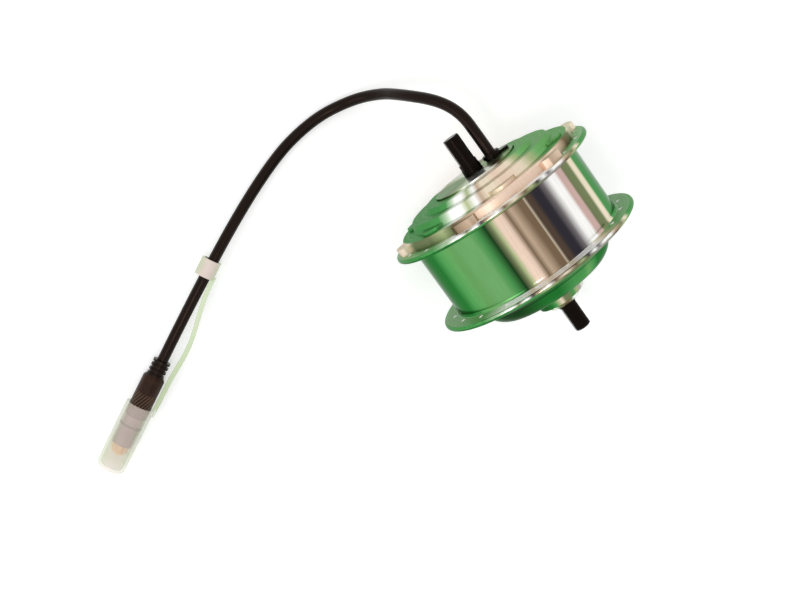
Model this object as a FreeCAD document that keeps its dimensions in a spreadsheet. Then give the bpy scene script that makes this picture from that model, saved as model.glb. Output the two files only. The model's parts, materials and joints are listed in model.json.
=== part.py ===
import FreeCAD, Part
import math
import os

import Sketcher

# Geared front hub motor with its cable, connector and tethered cap.
# The axle lies along Y, cable side at -Y, +Z up. The origin is on the axle at its middle.
# A station is a distance along Y from the cable-side end of the axle.

os.makedirs("parts", exist_ok=True)
doc = FreeCAD.newDocument("HubMotor")
Vector = FreeCAD.Vector

# Driving dimensions in millimetres, degrees and counts
DRIVING = [
    ("axle_length", 146.0, "axle over both ends"),
    ("axle_end_radius", 6.0, "threaded ends"),
    ("axle_flat_width", 10.0, "across the flats"),
    ("flat_length", 18.0, "flats measured from each end"),
    ("axle_collar_radius", 6.35, "collar outside the outlet disc"),
    ("axle_collar_length", 4.2, "collar outside the outlet disc"),
    ("axle_body_radius", 7.5, "journal for disc and stator"),
    ("axle_chamfer", 1.0, "both ends"),
    ("journal_past_core", 3.0, "thick part of the axle past the stator"),
    ("running_gap", 0.05, "shafts in bushes"),
    ("free_gap", 0.5, "between turning faces"),
    ("flange_radius", 70.0, "spoke flanges"),
    ("flange_thickness", 3.2, "spoke flanges"),
    ("flange_station", 42.8, "middle of the cable-side flange"),
    ("flange_spacing", 51.7, "between the flange middles"),
    ("flange_rounding", 1.5, "flange rims"),
    ("flange_root", 2.0, "rounding between flange and drum"),
    ("near_spoke_share", 0.5, "spoke holes of the cable side, share of the way to the rim"),
    ("far_spoke_share", 0.31, "spoke holes of the far side, share of the way to the rim"),
    ("spoke_hole_radius", 1.4, "spoke holes"),
    ("spokes_per_flange", 18, "spoke holes"),
    ("far_spoke_turn", 5.0, "degrees, first hole of the far flange"),
    ("drum_radius", 58.4, "outside of the shell"),
    ("mouth_radius", 55.4, "bore of the shell at the cover"),
    ("dome_wall", 3.6, "far end of the shell"),
    ("dome_shoulder_radius", 45.6, "foot of the raised middle of the dome"),
    ("dome_shoulder_station", 104.3, "foot of the raised middle of the dome"),
    ("dome_step_radius", 39.0, "edge of the raised middle"),
    ("dome_step_station", 112.0, "edge of the raised middle"),
    ("dome_end_radius", 21.5, "foot of the nose"),
    ("dome_end_station", 114.2, "foot of the nose"),
    ("dome_arc", 60.0, "rounding from the drum to the shoulder"),
    ("dome_step_arc", 14.0, "rounding of the raised middle's edge"),
    ("dome_cone_arc", 80.0, "rounding of the cone"),
    ("dome_inside_arc", 40.0, "inside of the dome"),
    ("nose_foot_radius", 17.4, "raised nose"),
    ("nose_foot_station", 116.6, "raised nose"),
    ("nose_radius", 15.8, "raised nose"),
    ("nose_station", 122.2, "raised nose"),
    ("ring_stop", 3.0, "shoulder behind the ring gear"),
    ("nose_lip", 2.0, "lip that holds the far bearing"),
    ("nose_lip_height", 2.5, "lip over the bearing and bore around the axle"),
    ("spacer_inner_wall", 1.5, "spacer before the rotor bearing"),
    ("spacer_outer_wall", 2.4, "spacer before the far bearing"),
    ("cover_turn", 33.0, "degrees, first lug of the cover"),
    ("cover_band_radius", 61.6, "outer band of the cover"),
    ("cover_band_station", 35.2, "outer face of the band"),
    ("cover_lug_radius", 66.6, "lugs for the spanner"),
    ("cover_lug_width", 16.0, "lugs for the spanner"),
    ("cover_lug_chamfer", 3.0, "corners of the lugs"),
    ("cover_lug_station", 36.2, "outer face of the lugs"),
    ("cover_lugs", 6, "around the band"),
    ("cover_pad_radius", 9.5, "round pads between the lugs"),
    ("cover_pad_circle", 48.5, "round pads between the lugs"),
    ("cover_pad_station", 33.2, "outer face of the pads"),
    ("cover_tier_radius", 50.6, "second level"),
    ("cover_tier_station", 29.7, "second level"),
    ("cover_top_radius", 38.2, "flat middle"),
    ("cover_top_station", 26.7, "flat middle"),
    ("cover_bevel", 1.2, "half the slope of the steps"),
    ("cover_wall", 3.2, "cover"),
    ("cover_hollow_station", 33.9, "floor of the hollow inside"),
    ("cover_spigot_length", 5.0, "threaded spigot in the mouth"),
    ("disc_radius", 28.4, "outlet disc"),
    ("disc_station", 25.6, "outer face of the outlet disc"),
    ("disc_journal_radius", 25.0, "bearing seat of the disc"),
    ("disc_plate", 4.0, "floor of the disc behind the bearing shoulder"),
    ("disc_rim_wall", 3.0, "wall under the bearing"),
    ("disc_rim_past", 2.6, "wall past the bearing"),
    ("sleeve_wall", 5.5, "sleeves of disc and stator on the axle"),
    ("sleeve_before_core", 3.0, "where the two sleeves meet, before the core"),
    ("seal_gap", 0.6, "between disc and cover"),
    ("main_bearing_station", 32.0, "start"),
    ("main_bearing_width", 7.0, "50 x 65 x 7"),
    ("main_bearing_radius", 32.5, "outside"),
    ("main_ball_radius", 1.8, "balls"),
    ("main_balls", 16, "balls"),
    ("far_bearing_station", 108.5, "start"),
    ("far_bearing_width", 8.0, "12 x 28 x 8"),
    ("far_bearing_radius", 14.0, "outside"),
    ("far_ball_radius", 2.38, "balls"),
    ("far_balls", 8, "balls"),
    ("rotor_bearing_station", 71.5, "start"),
    ("rotor_bearing_width", 5.0, "12 x 21 x 5"),
    ("rotor_bearing_radius", 10.5, "outside"),
    ("rotor_ball_radius", 1.2, "balls"),
    ("rotor_balls", 10, "balls"),
    ("race_wall", 2.6, "rings of the main and far bearings"),
    ("rotor_race_wall", 1.5, "rings of the rotor bearing"),
    ("groove_gap", 0.04, "between balls and races"),
    ("seal_ring_radius", 11.0, "ring at the root of the far axle end"),
    ("seal_ring_station", 120.6, "inner face"),
    ("seal_ring_end", 125.6, "outer face"),
    ("seal_ring_chamfer", 1.0, "outer edge"),
    ("seal_ring_gap", 0.4, "to the axle"),
    ("outlet_offset", 14.6, "cable outlet from the axle"),
    ("cable_radius", 3.7, "motor cable"),
    ("cable_hole_radius", 4.0, "hole in the disc"),
    ("gland_radius", 5.8, "gland head"),
    ("gland_neck_radius", 4.9, "gland neck"),
    ("gland_height", 3.8, "gland head above the disc"),
    ("gland_neck_height", 1.3, "neck above the disc"),
    ("tab_reach", 26.2, "end of the tab from the axle"),
    ("tab_width", 6.0, "tab"),
    ("tab_thickness", 1.7, "tab"),
    ("tab_screw_radius", 1.5, "countersunk screw in the tab"),
    ("tab_screw_reach", 23.4, "screw from the axle"),
    ("stator_station", 47.0, "start of the core"),
    ("stator_length", 20.0, "core"),
    ("stator_radius", 41.0, "core outside"),
    ("stator_bore", 24.0, "core inside"),
    ("stator_teeth", 18, "core"),
    ("tooth_width", 5.6, "core"),
    ("yoke_radius", 29.5, "bottom of the slots"),
    ("shoe_radius", 39.0, "start of the tooth tips"),
    ("slot_opening", 2.6, "between the tooth tips"),
    ("coil_overhang", 3.4, "coils past the core"),
    ("coil_wall", 1.9, "build of a coil"),
    ("coil_gap", 0.12, "coil to core"),
    ("air_gap", 0.7, "stator to magnets"),
    ("magnet_thickness", 2.0, "rotor magnets"),
    ("magnet_count", 20, "rotor magnets"),
    ("magnet_spacing", 0.8, "between the magnets"),
    ("can_wall", 2.4, "rotor can"),
    ("can_station", 44.5, "open end of the can"),
    ("can_plate_station", 71.6, "inner face of the back plate"),
    ("can_plate", 2.6, "back plate"),
    ("rotor_hub_radius", 14.0, "rotor hub"),
    ("gear_station", 77.0, "sun and ring gears"),
    ("gear_length", 16.0, "sun and ring gears"),
    ("planet_inset", 0.8, "planet ends inside the gears"),
    ("gear_module", 1.5, "teeth"),
    ("pressure_angle", 20.0, "degrees"),
    ("sun_teeth", 15, "sun gear"),
    ("planet_teeth", 24, "planet gears"),
    ("backlash", 0.16, "tooth thinning"),
    ("ring_gear_wall", 4.2, "behind the teeth"),
    ("sun_bush_wall", 1.5, "bush in the sun gear"),
    ("planet_pin_radius", 4.0, "pins"),
    ("planet_bush_wall", 2.0, "bushes"),
    ("carrier_plate", 4.0, "planet carrier"),
    ("carrier_edge", 8.0, "around the pins"),
    ("clip_thickness", 1.0, "clips"),
    ("clutch_length", 12.0, "one-way clutch"),
    ("clutch_roller_radius", 1.5, "rollers"),
    ("clutch_rollers", 10, "rollers"),
    ("clutch_race_wall", 3.0, "outer race"),
    ("carrier_hub_wall", 3.0, "around the clutch"),
    ("board_station", 42.0, "sensor board"),
    ("board_thickness", 1.4, "sensor board"),
    ("board_radius", 37.0, "sensor board"),
    ("lead_radius", 1.3, "phase leads"),
    ("floor_depth", 70.0, "surface that the flanges stand on, below the axle"),
    ("connector_height", 9.8, "connector axis above that surface"),
    ("connector_start_x", 165.66, "upper edge of the tether ring"),
    ("connector_start_y", -94.93, "upper edge of the tether ring"),
    ("connector_heading", 27.08, "degrees from +X towards +Y"),
    ("tether_ring_radius", 6.6, "ring on the cable"),
    ("tether_ring_bore", 5.0, "ring on the cable"),
    ("tether_ring_length", 12.0, "ring on the cable"),
    ("relief_start", 74.2, "from the ring's upper edge"),
    ("relief_radius", 5.9, "strain relief"),
    ("relief_ribs", 3, "strain relief"),
    ("body_start", 85.3, "from the ring's upper edge"),
    ("body_radius", 7.4, "connector body"),
    ("cap_start", 107.3, "from the ring's upper edge"),
    ("insert_radius", 6.6, "under the cap"),
    ("insert_end", 136.2, "from the ring's upper edge"),
    ("pins_end", 143.4, "from the ring's upper edge"),
    ("power_pin_radius", 1.6, "three pins"),
    ("power_pin_circle", 3.1, "three pins"),
    ("signal_pin_radius", 0.5, "five pins"),
    ("signal_pin_circle", 5.3, "five pins"),
    ("signal_pins", 5, "five pins"),
    ("signal_pin_length", 4.5, "five pins"),
    ("cap_length", 47.5, "cap"),
    ("cap_radius", 9.75, "cap"),
    ("cap_wall", 1.95, "cap"),
    ("cap_end_rounding", 3.0, "closed end"),
    ("strap_width", 3.2, "tether strap"),
    ("strap_thickness", 2.4, "tether strap"),
    ("strap_sink", 0.4, "middle of the strap below the ring's outside"),
    ("strap_bow", 11.4, "middle of the strap from the connector's axis, at its widest"),
    ("strap_overlap", 2.0, "strap along the ring"),
    ("strap_cap_overlap", 4.0, "strap along the cap"),
]

# Line of the strap: share of its run, share of its rise from the ring to the widest place
STRAP_LINE = [(0.0, 0.0), (0.16, 0.12), (0.27, 0.44), (0.375, 0.8), (0.475, 1.0), (0.59, 0.96),
              (0.71, 0.78), (0.83, 0.72), (1.0, 0.65)]


class Size:
    """A number of the sheet together with the expression that stands for it."""

    def __init__(self, value, text):
        self.value = float(value)
        self.text = text

    def combine(self, other, sign, value):
        return Size(value, "(%s %s %s)" % (self.text, sign, other.text))

    def __add__(self, other):
        other = as_size(other)
        return self.combine(other, "+", self.value + other.value)

    def __sub__(self, other):
        other = as_size(other)
        return self.combine(other, "-", self.value - other.value)

    def __mul__(self, other):
        other = as_size(other)
        return self.combine(other, "*", self.value * other.value)

    def __truediv__(self, other):
        other = as_size(other)
        return self.combine(other, "/", self.value / other.value)

    def __rsub__(self, other):
        return as_size(other) - self

    __radd__ = __add__
    __rmul__ = __mul__


def as_size(number):
    """Wrap a plain number."""
    return number if isinstance(number, Size) else Size(number, repr(float(number)))


class Sizes:
    """All driving dimensions, read back from the sheet."""

    def __init__(self):
        sheet = doc.addObject("Spreadsheet::Sheet", "Sizes")
        for row, (alias, value, note) in enumerate(DRIVING, start=1):
            sheet.set("A%d" % row, note)
            sheet.set("B%d" % row, str(value))
            sheet.setAlias("B%d" % row, alias)
        doc.recompute()
        for alias, _, _ in DRIVING:
            setattr(self, alias, Size(sheet.get(alias), "Sizes." + alias))


S = Sizes()
HALF = S.axle_length / 2.0
NODES = []

# Sizes that follow from the driving ones
sun_pitch = S.gear_module * S.sun_teeth / 2.0
planet_pitch = S.gear_module * S.planet_teeth / 2.0
ring_teeth = S.sun_teeth + S.planet_teeth * 2.0
ring_pitch = S.gear_module * ring_teeth / 2.0
pin_circle = sun_pitch + planet_pitch
ring_root = ring_pitch + S.gear_module * 1.25
ring_seat = ring_root + S.ring_gear_wall
gear_end = S.gear_station + S.gear_length
flange_b = S.flange_station + S.flange_spacing
magnet_bore = S.stator_radius + S.air_gap
can_bore = magnet_bore + S.magnet_thickness
can_outside = can_bore + S.can_wall
magnet_end = S.stator_station + S.stator_length
carrier_station = gear_end + S.free_gap
carrier_end = carrier_station + S.carrier_plate
clutch_start = carrier_station + S.free_gap
clutch_end = clutch_start + S.clutch_length
race_bore = S.axle_end_radius + S.clutch_roller_radius * 2.0
race_outside = race_bore + S.clutch_race_wall
planet_start = S.gear_station + S.planet_inset
planet_end = gear_end - S.planet_inset
main_bearing_end = S.main_bearing_station + S.main_bearing_width
far_bearing_end = S.far_bearing_station + S.far_bearing_width
rotor_bearing_end = S.rotor_bearing_station + S.rotor_bearing_width
sun_bush_outside = S.axle_end_radius + S.sun_bush_wall
planet_bore = S.planet_pin_radius + S.planet_bush_wall
journal_end = magnet_end + S.journal_past_core
sleeve_radius = S.axle_body_radius + S.sleeve_wall
sleeve_joint = S.stator_station - S.sleeve_before_core
flange_width = S.flange_radius - S.drum_radius
near_spoke_radius = S.drum_radius + flange_width * S.near_spoke_share
far_spoke_radius = S.drum_radius + flange_width * S.far_spoke_share
connector_depth = S.floor_depth - S.connector_height


def keep(item, label):
    """Name an object as a node of the part."""
    item.Label = label
    NODES.append(item)
    return item


def plane(body, role):
    """One of the origin planes or axes of a body."""
    return [item for item in body.Origin.OriginFeatures if item.Role == role][0]


def axle_sketch(body, name, role="XY_Plane"):
    """Sketch in a plane through the axle; its origin is the cable-side end of the axle."""
    sketch = body.newObject("Sketcher::SketchObject", name)
    sketch.AttachmentSupport = [(plane(body, role), "")]
    sketch.MapMode = "FlatFace"
    return sketch


def cross_sketch(body, name, station, turn=None):
    """Sketch square to the axle at a station: x is +X, y is +Z, its normal is -Y."""
    sketch = axle_sketch(body, name, "XZ_Plane")
    offset = (HALF - station).value
    angle = turn.value if turn else 0.0
    turned_by = FreeCAD.Rotation(Vector(0, 0, 1), angle)
    sketch.AttachmentOffset = FreeCAD.Placement(Vector(0, 0, offset), turned_by)
    sketch.setExpression("AttachmentOffset.Base.z", (HALF - station).text)
    if turn:
        sketch.setExpression("AttachmentOffset.Rotation.Angle", turn.text)
    return sketch


def fix_point(sketch, element, spot, x, y):
    """Hold a point of a sketch at x, y; a side of None lies on the sketch's axis."""
    for kind, coordinate, on_axis in (("DistanceX", x, -2), ("DistanceY", y, -1)):
        if coordinate is None:
            sketch.addConstraint(Sketcher.Constraint("PointOnObject", element, spot, on_axis))
            continue
        size = as_size(coordinate)
        place = Sketcher.Constraint(kind, -1, 1, element, spot, size.value)
        index = sketch.addConstraint(place)
        sketch.setExpression("Constraints[%d]" % index, size.text)


def number(coordinate):
    """Plain value of a coordinate, where None stands for zero."""
    return 0.0 if coordinate is None else as_size(coordinate).value


def outline(sketch, corners):
    """Closed outline through corners (x, y) or (x, y, arc radius, side)."""
    spots = [Vector(number(corner[0]), number(corner[1]), 0) for corner in corners]
    count = len(spots)
    for index in range(count):
        start, end = spots[index], spots[(index + 1) % count]
        corner = corners[(index + 1) % count]
        if len(corner) == 2:
            sketch.addGeometry(Part.LineSegment(start, end), False)
            continue
        radius = as_size(corner[2])
        chord = end - start
        middle = (start + end) * 0.5
        across = Vector(-chord.y, chord.x, 0).normalize() * corner[3]
        rise = radius.value - math.sqrt(radius.value ** 2 - (chord.Length / 2) ** 2)
        first, last = (end, start) if corner[3] > 0 else (start, end)
        sketch.addGeometry(Part.Arc(first, middle + across * rise, last), False)
    for index in range(count):
        following = (index + 1) % count
        ends = []
        for element, at_start in ((index, False), (following, True)):
            shape = sketch.Geometry[element]
            first = shape.StartPoint.distanceToPoint(spots[following]) < 1e-6
            ends.append(1 if first else 2)
        joined = Sketcher.Constraint("Coincident", index, ends[0], following, ends[1])
        sketch.addConstraint(joined)
        fix_point(sketch, following, ends[1], corners[following][0], corners[following][1])
        if len(corners[following]) > 2:
            radius = as_size(corners[following][2])
            held = Sketcher.Constraint("Radius", index, radius.value)
            sketch.setExpression("Constraints[%d]" % sketch.addConstraint(held), radius.text)


def turned(name, corners, at=None):
    """Body turned about its Y axis from corners (radius, station)."""
    body = doc.addObject("PartDesign::Body", name)
    sketch = axle_sketch(body, name + "_outline")
    if at is None:
        sketch.AttachmentOffset = FreeCAD.Placement(Vector(0, -HALF.value, 0), FreeCAD.Rotation())
        sketch.setExpression("AttachmentOffset.Base.y", "-" + HALF.text)
    outline(sketch, corners)
    turn = body.newObject("PartDesign::Revolution", name + "_turn")
    turn.Profile = sketch
    turn.ReferenceAxis = (sketch, ["V_Axis"])
    turn.Angle = 360
    body.Tip = turn
    if at is not None:
        body.Placement = at
    return body


def ring(name, inside, outside, start, end, at=None):
    """Plain ring or, with an inside of None, a plain disc."""
    corners = [(inside, start), (outside, start), (outside, end), (inside, end)]
    return turned(name, corners, at)


def around(body, feature, count, name):
    """Repeat a feature around the axle."""
    pattern = body.newObject("PartDesign::PolarPattern", name)
    pattern.Originals = [feature]
    pattern.Axis = (plane(body, "Y_Axis"), [""])
    pattern.Angle = 360
    pattern.Occurrences = int(count.value)
    pattern.setExpression("Occurrences", count.text)
    body.Tip = pattern
    return pattern


def pocket(body, sketch, depth, name):
    """Cut from the sketch towards +Y."""
    cut = body.newObject("PartDesign::Pocket", name)
    cut.Profile = sketch
    cut.Length = depth.value
    cut.setExpression("Length", depth.text)
    body.Tip = cut
    return cut


def pad(body, sketch, height, name):
    """Raise from the sketch towards -Y."""
    raised = body.newObject("PartDesign::Pad", name)
    raised.Profile = sketch
    raised.Length = height.value
    raised.setExpression("Length", height.text)
    body.Tip = raised
    return raised


def circle(sketch, x, y, radius):
    """Circle in a sketch, held by its middle and radius."""
    radius = as_size(radius)
    middle = Vector(number(x), number(y), 0)
    element = sketch.addGeometry(Part.Circle(middle, Vector(0, 0, 1), radius.value), False)
    fix_point(sketch, element, 3, x, y)
    held = Sketcher.Constraint("Radius", element, radius.value)
    sketch.setExpression("Constraints[%d]" % sketch.addConstraint(held), radius.text)


def feature(name, shape):
    """Node whose shape is worked out here from the sheet's sizes."""
    item = doc.addObject("Part::Feature", name)
    item.Shape = shape
    return keep(item, name)


def spin_direction(angle):
    """Unit vector square to the axle; 0 degrees is +Z, 90 degrees is +X."""
    return Vector(math.sin(math.radians(angle)), 0, math.cos(math.radians(angle)))


def on_axle(radius, angle, station):
    """Point at a radius and angle about the axle."""
    spot = spin_direction(angle) * radius
    return spot + Vector(0, station - HALF.value, 0)


def rod(radius, length, base, direction=Vector(0, 1, 0)):
    """Plain cylinder as a shape."""
    return Part.makeCylinder(radius, length, base, direction)


# Gears
def involute_flank(base_radius, start, end, points):
    """Points (radius, turned angle) of an involute between two radii."""
    flank = []
    for index in range(points):
        radius = start + (end - start) * index / (points - 1)
        roll = math.sqrt(max((radius / base_radius) ** 2 - 1.0, 0.0))
        flank.append((radius, roll - math.atan(roll)))
    return flank


def gear_wire(teeth, low, high, thinning, station, inner):
    """Closed tooth outline; a tooth, or for an inner gear a tooth gap's wall, is centred on +Z."""
    module = S.gear_module.value
    pitch = module * teeth / 2.0
    pressure = math.radians(S.pressure_angle.value)
    base = pitch * math.cos(pressure)
    at_pitch = math.tan(pressure) - pressure
    half_tooth = math.pi / (2.0 * teeth) - thinning / (2.0 * pitch) * (-1.0 if inner else 1.0)
    middle = math.pi / teeth if inner else 0.0
    flank = involute_flank(base, max(base, low), high, 4)
    spots = []
    for tooth in range(int(teeth)):
        centre = 2.0 * math.pi * tooth / teeth + middle
        sides = []
        for radius, turn in flank:
            sides.append((radius, half_tooth + at_pitch - turn))
        if low < base:
            sides.insert(0, (low, sides[0][1]))
        rising = [(radius, centre - half) for radius, half in sides]
        falling = [(radius, centre + half) for radius, half in reversed(sides)]
        spots += rising + falling
    points = [on_axle(radius, math.degrees(angle), station) for radius, angle in spots]
    return Part.makePolygon(points + points[:1])


def gear_blank(wire, length):
    """Solid between a tooth outline and its copy."""
    return Part.Face(wire).extrude(Vector(0, length, 0))


# Ball bearings: inner ring, outer ring, balls and cage, each its own node
def bearing(name, bore, outside, start, width, wall, ball, count):
    """Four nodes of a deep-groove bearing."""
    inner_edge = bore + wall
    outer_edge = outside - wall
    middle = start + width / 2.0
    track = (bore + outside) / 2.0
    groove = Part.makeTorus(track.value, ball.value + S.groove_gap.value,
                            Vector(0, (middle - HALF).value, 0), Vector(0, 1, 0))
    for part, low, high in (("inner_ring", bore, inner_edge), ("outer_ring", outer_edge, outside)):
        blank = rod(high.value, width.value, Vector(0, (start - HALF).value, 0))
        hole = rod(low.value, width.value, Vector(0, (start - HALF).value, 0))
        feature("%s_%s" % (name, part), blank.cut(hole).cut(groove))
    balls = []
    for index in range(int(count.value)):
        spot = on_axle(track.value, 360.0 * index / count.value, middle.value)
        balls.append(Part.makeSphere(ball.value, spot))
    feature(name + "_balls", Part.makeCompound(balls))
    thick = (outer_edge - inner_edge).value * 0.5
    reach = ball.value * 1.25
    low, high = track.value - thick / 2.0, track.value + thick / 2.0
    base = Vector(0, (middle - HALF).value - reach, 0)
    cage = rod(high, reach * 2.0, base).cut(rod(low, reach * 2.0, base))
    for index in range(int(count.value)):
        way = spin_direction(360.0 * index / count.value)
        spot = Vector(0, (middle - HALF).value, 0) + way * (low - 1.0)
        cage = cage.cut(rod(ball.value + S.groove_gap.value, thick + 2.0, spot, way))
    feature(name + "_cage", cage)


# Axle and outlet disc
def make_axle():
    """Stepped axle with two flats at each end."""
    radius, body, collar = S.axle_end_radius, S.axle_body_radius, S.axle_collar_radius
    chamfer = S.axle_chamfer
    disc = S.disc_station
    item = turned("axle", [
        (None, None), (radius - chamfer, None), (radius, chamfer),
        (radius, disc - S.axle_collar_length), (collar, disc - S.axle_collar_length),
        (collar, disc), (body, disc), (body, journal_end), (radius, journal_end),
        (radius, S.axle_length - chamfer), (radius - chamfer, S.axle_length),
        (None, S.axle_length)])
    for name, start in (("near", as_size(0.0)), ("far", S.axle_length - S.flat_length)):
        sketch = cross_sketch(item, "axle_flats_" + name, start)
        half, reach = S.axle_flat_width / 2.0, radius + 1.0
        for side in (1.0, -1.0):
            first = len(sketch.Geometry)
            corners = [(half * side, reach * -1.0), (reach * side, reach * -1.0),
                       (reach * side, reach), (half * side, reach)]
            spots = [Vector(number(x), number(y), 0) for x, y in corners]
            for index in range(4):
                line = Part.LineSegment(spots[index], spots[(index + 1) % 4])
                sketch.addGeometry(line, False)
            for index in range(4):
                following = first + (index + 1) % 4
                tied = Sketcher.Constraint("Coincident", first + index, 2, following, 1)
                sketch.addConstraint(tied)
                x, y = corners[(index + 1) % 4]
                fix_point(sketch, following, 1, x, y)
        pocket(item, sketch, S.flat_length, "axle_flat_cut_" + name)
    return keep(item, "axle")


def make_outlet_disc():
    """Still disc in the middle of the cover, with the cable hole."""
    rim, journal, bore = S.disc_radius, S.disc_journal_radius, S.axle_body_radius
    seat, end = S.main_bearing_station, main_bearing_end + S.disc_rim_past
    floor = seat + S.disc_plate
    inner = journal - S.disc_rim_wall
    item = turned("cable_outlet_disc", [
        (bore, S.disc_station), (rim, S.disc_station), (rim, seat), (journal, seat),
        (journal, end), (inner, end), (inner, floor),
        (sleeve_radius, floor), (sleeve_radius, sleeve_joint), (bore, sleeve_joint)])
    sketch = cross_sketch(item, "cable_hole", S.disc_station)
    circle(sketch, S.outlet_offset * -1.0, None, S.cable_hole_radius)
    pocket(item, sketch, floor - S.disc_station, "cable_hole_cut")
    clip = ring("disc_circlip", journal - 0.4, journal + 1.8, main_bearing_end,
                main_bearing_end + S.clip_thickness)
    groove = cross_sketch(item, "clip_groove", main_bearing_end)
    circle(groove, None, None, journal + 1.0)
    circle(groove, None, None, journal - 0.4)
    pocket(item, groove, S.clip_thickness, "clip_groove_cut")
    keep(item, "cable_outlet_disc")
    return keep(clip, "disc_circlip")


def make_gland():
    """Gland with its neck, head and flat tab."""
    face = S.disc_station.value - HALF.value
    centre = Vector(-S.outlet_offset.value, face, 0)
    out = Vector(0, -1, 0)
    neck = rod(S.gland_neck_radius.value, S.gland_neck_height.value, centre, out)
    shoulder = centre + out * S.gland_neck_height.value
    head_height = S.gland_height.value - S.gland_neck_height.value
    head = rod(S.gland_radius.value, head_height, shoulder, out)
    head = head.makeChamfer(0.5, [edge for edge in head.Edges if edge.Length > 10 and
                                  edge.Vertexes[0].Y < shoulder.y - head_height + 0.01][:1])
    half = S.tab_width.value / 2.0
    reach = S.tab_reach.value - half
    tab_low = Vector(-reach, face - S.tab_thickness.value, -half)
    tab = Part.makeBox(reach - S.outlet_offset.value, S.tab_thickness.value, half * 2, tab_low)
    tab_end = rod(half, S.tab_thickness.value, Vector(-reach, face, 0), out)
    bore = rod(S.cable_radius.value, S.gland_height.value + 2.0, centre + Vector(0, 1, 0), out)
    screw_spot = Vector(-S.tab_screw_reach.value, face, 0)
    radius = S.tab_screw_radius.value
    hole = rod(radius, S.tab_thickness.value, screw_spot, out)
    sink = Part.makeCone(radius, radius * 1.7, S.tab_thickness.value * 0.6,
                         screw_spot + out * (S.tab_thickness.value * 0.4), out)
    gland = neck.fuse([head, tab, tab_end]).removeSplitter().cut(bore).cut(hole).cut(sink)
    feature("cable_gland", gland)
    shank = rod(radius, S.tab_thickness.value * 0.4, screw_spot, out)
    feature("gland_screw", shank.fuse(sink))


# Cable: straight runs joined by tangent arcs
def cable_route():
    """Corners of the route from the gland to the strain relief."""
    gland_top = S.disc_station.value - HALF.value - S.gland_height.value
    low = S.cable_radius.value + 0.05 - S.floor_depth.value
    level = -connector_depth.value
    heading = math.radians(S.connector_heading.value)
    along = Vector(math.cos(heading), math.sin(heading), 0)
    start = Vector(S.connector_start_x.value, S.connector_start_y.value, level)
    return [
        Vector(-S.outlet_offset.value, gland_top, 0), Vector(-S.outlet_offset.value, -64, 0),
        Vector(-14.9, -80.4, -5), Vector(-8.8, -94.6, -12.3), Vector(4.9, -109.1, -29.1),
        Vector(14.4, -117.6, -50), Vector(32, -124.9, -62), Vector(59.4, -129, low),
        Vector(96.6, -123.3, low), start, start + along * S.relief_start.value]


def tangent_path(corners):
    """Wire of straight runs and tangent arcs, with the arc radii and the length."""
    edges, radii = [], []
    spot = corners[0]
    for index in range(1, len(corners) - 1):
        before = corners[index] - corners[index - 1]
        after = corners[index + 1] - corners[index]
        shorter = min(before.Length, after.Length)
        way_in, way_out = Vector(before).normalize(), Vector(after).normalize()
        turn = way_in.getAngle(way_out)
        tangent = 0.45 * shorter
        radius = tangent / math.tan(turn / 2.0)
        radii.append(radius)
        arc_start = corners[index] - way_in * tangent
        arc_end = corners[index] + way_out * tangent
        inward = Vector(way_out - way_in).normalize()
        depth = radius / math.cos(turn / 2.0) - radius
        edges.append(Part.LineSegment(spot, arc_start).toShape())
        edges.append(Part.Arc(arc_start, corners[index] + inward * depth, arc_end).toShape())
        spot = arc_end
    edges.append(Part.LineSegment(spot, corners[-1]).toShape())
    wire = Part.Wire(edges)
    return wire, radii


def make_cable():
    """Round cable on its route, printed with its length, radii and volume."""
    corners = cable_route()
    path, radii = tangent_path(corners)
    start_way = Vector(corners[1] - corners[0]).normalize()
    section = Part.Wire(Part.Circle(corners[0], start_way, S.cable_radius.value).toShape())
    tube = path.makePipeShell([section], True, False)
    feature("motor_cable", tube)
    expected = math.pi * S.cable_radius.value ** 2 * path.Length
    print("cable length %.1f, volume %.1f of %.1f" % (path.Length, tube.Volume, expected))
    print("cable radii " + " ".join("%.0f" % radius for radius in radii))


# Connector and cap, turned about their own axis, which starts at the tether ring
def connector_place():
    """Placement that lays the local Y axis along the connector."""
    heading = S.connector_heading.value - 90.0
    start = Vector(S.connector_start_x.value, S.connector_start_y.value, -connector_depth.value)
    return FreeCAD.Placement(start, FreeCAD.Rotation(Vector(0, 0, 1), heading))


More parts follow.
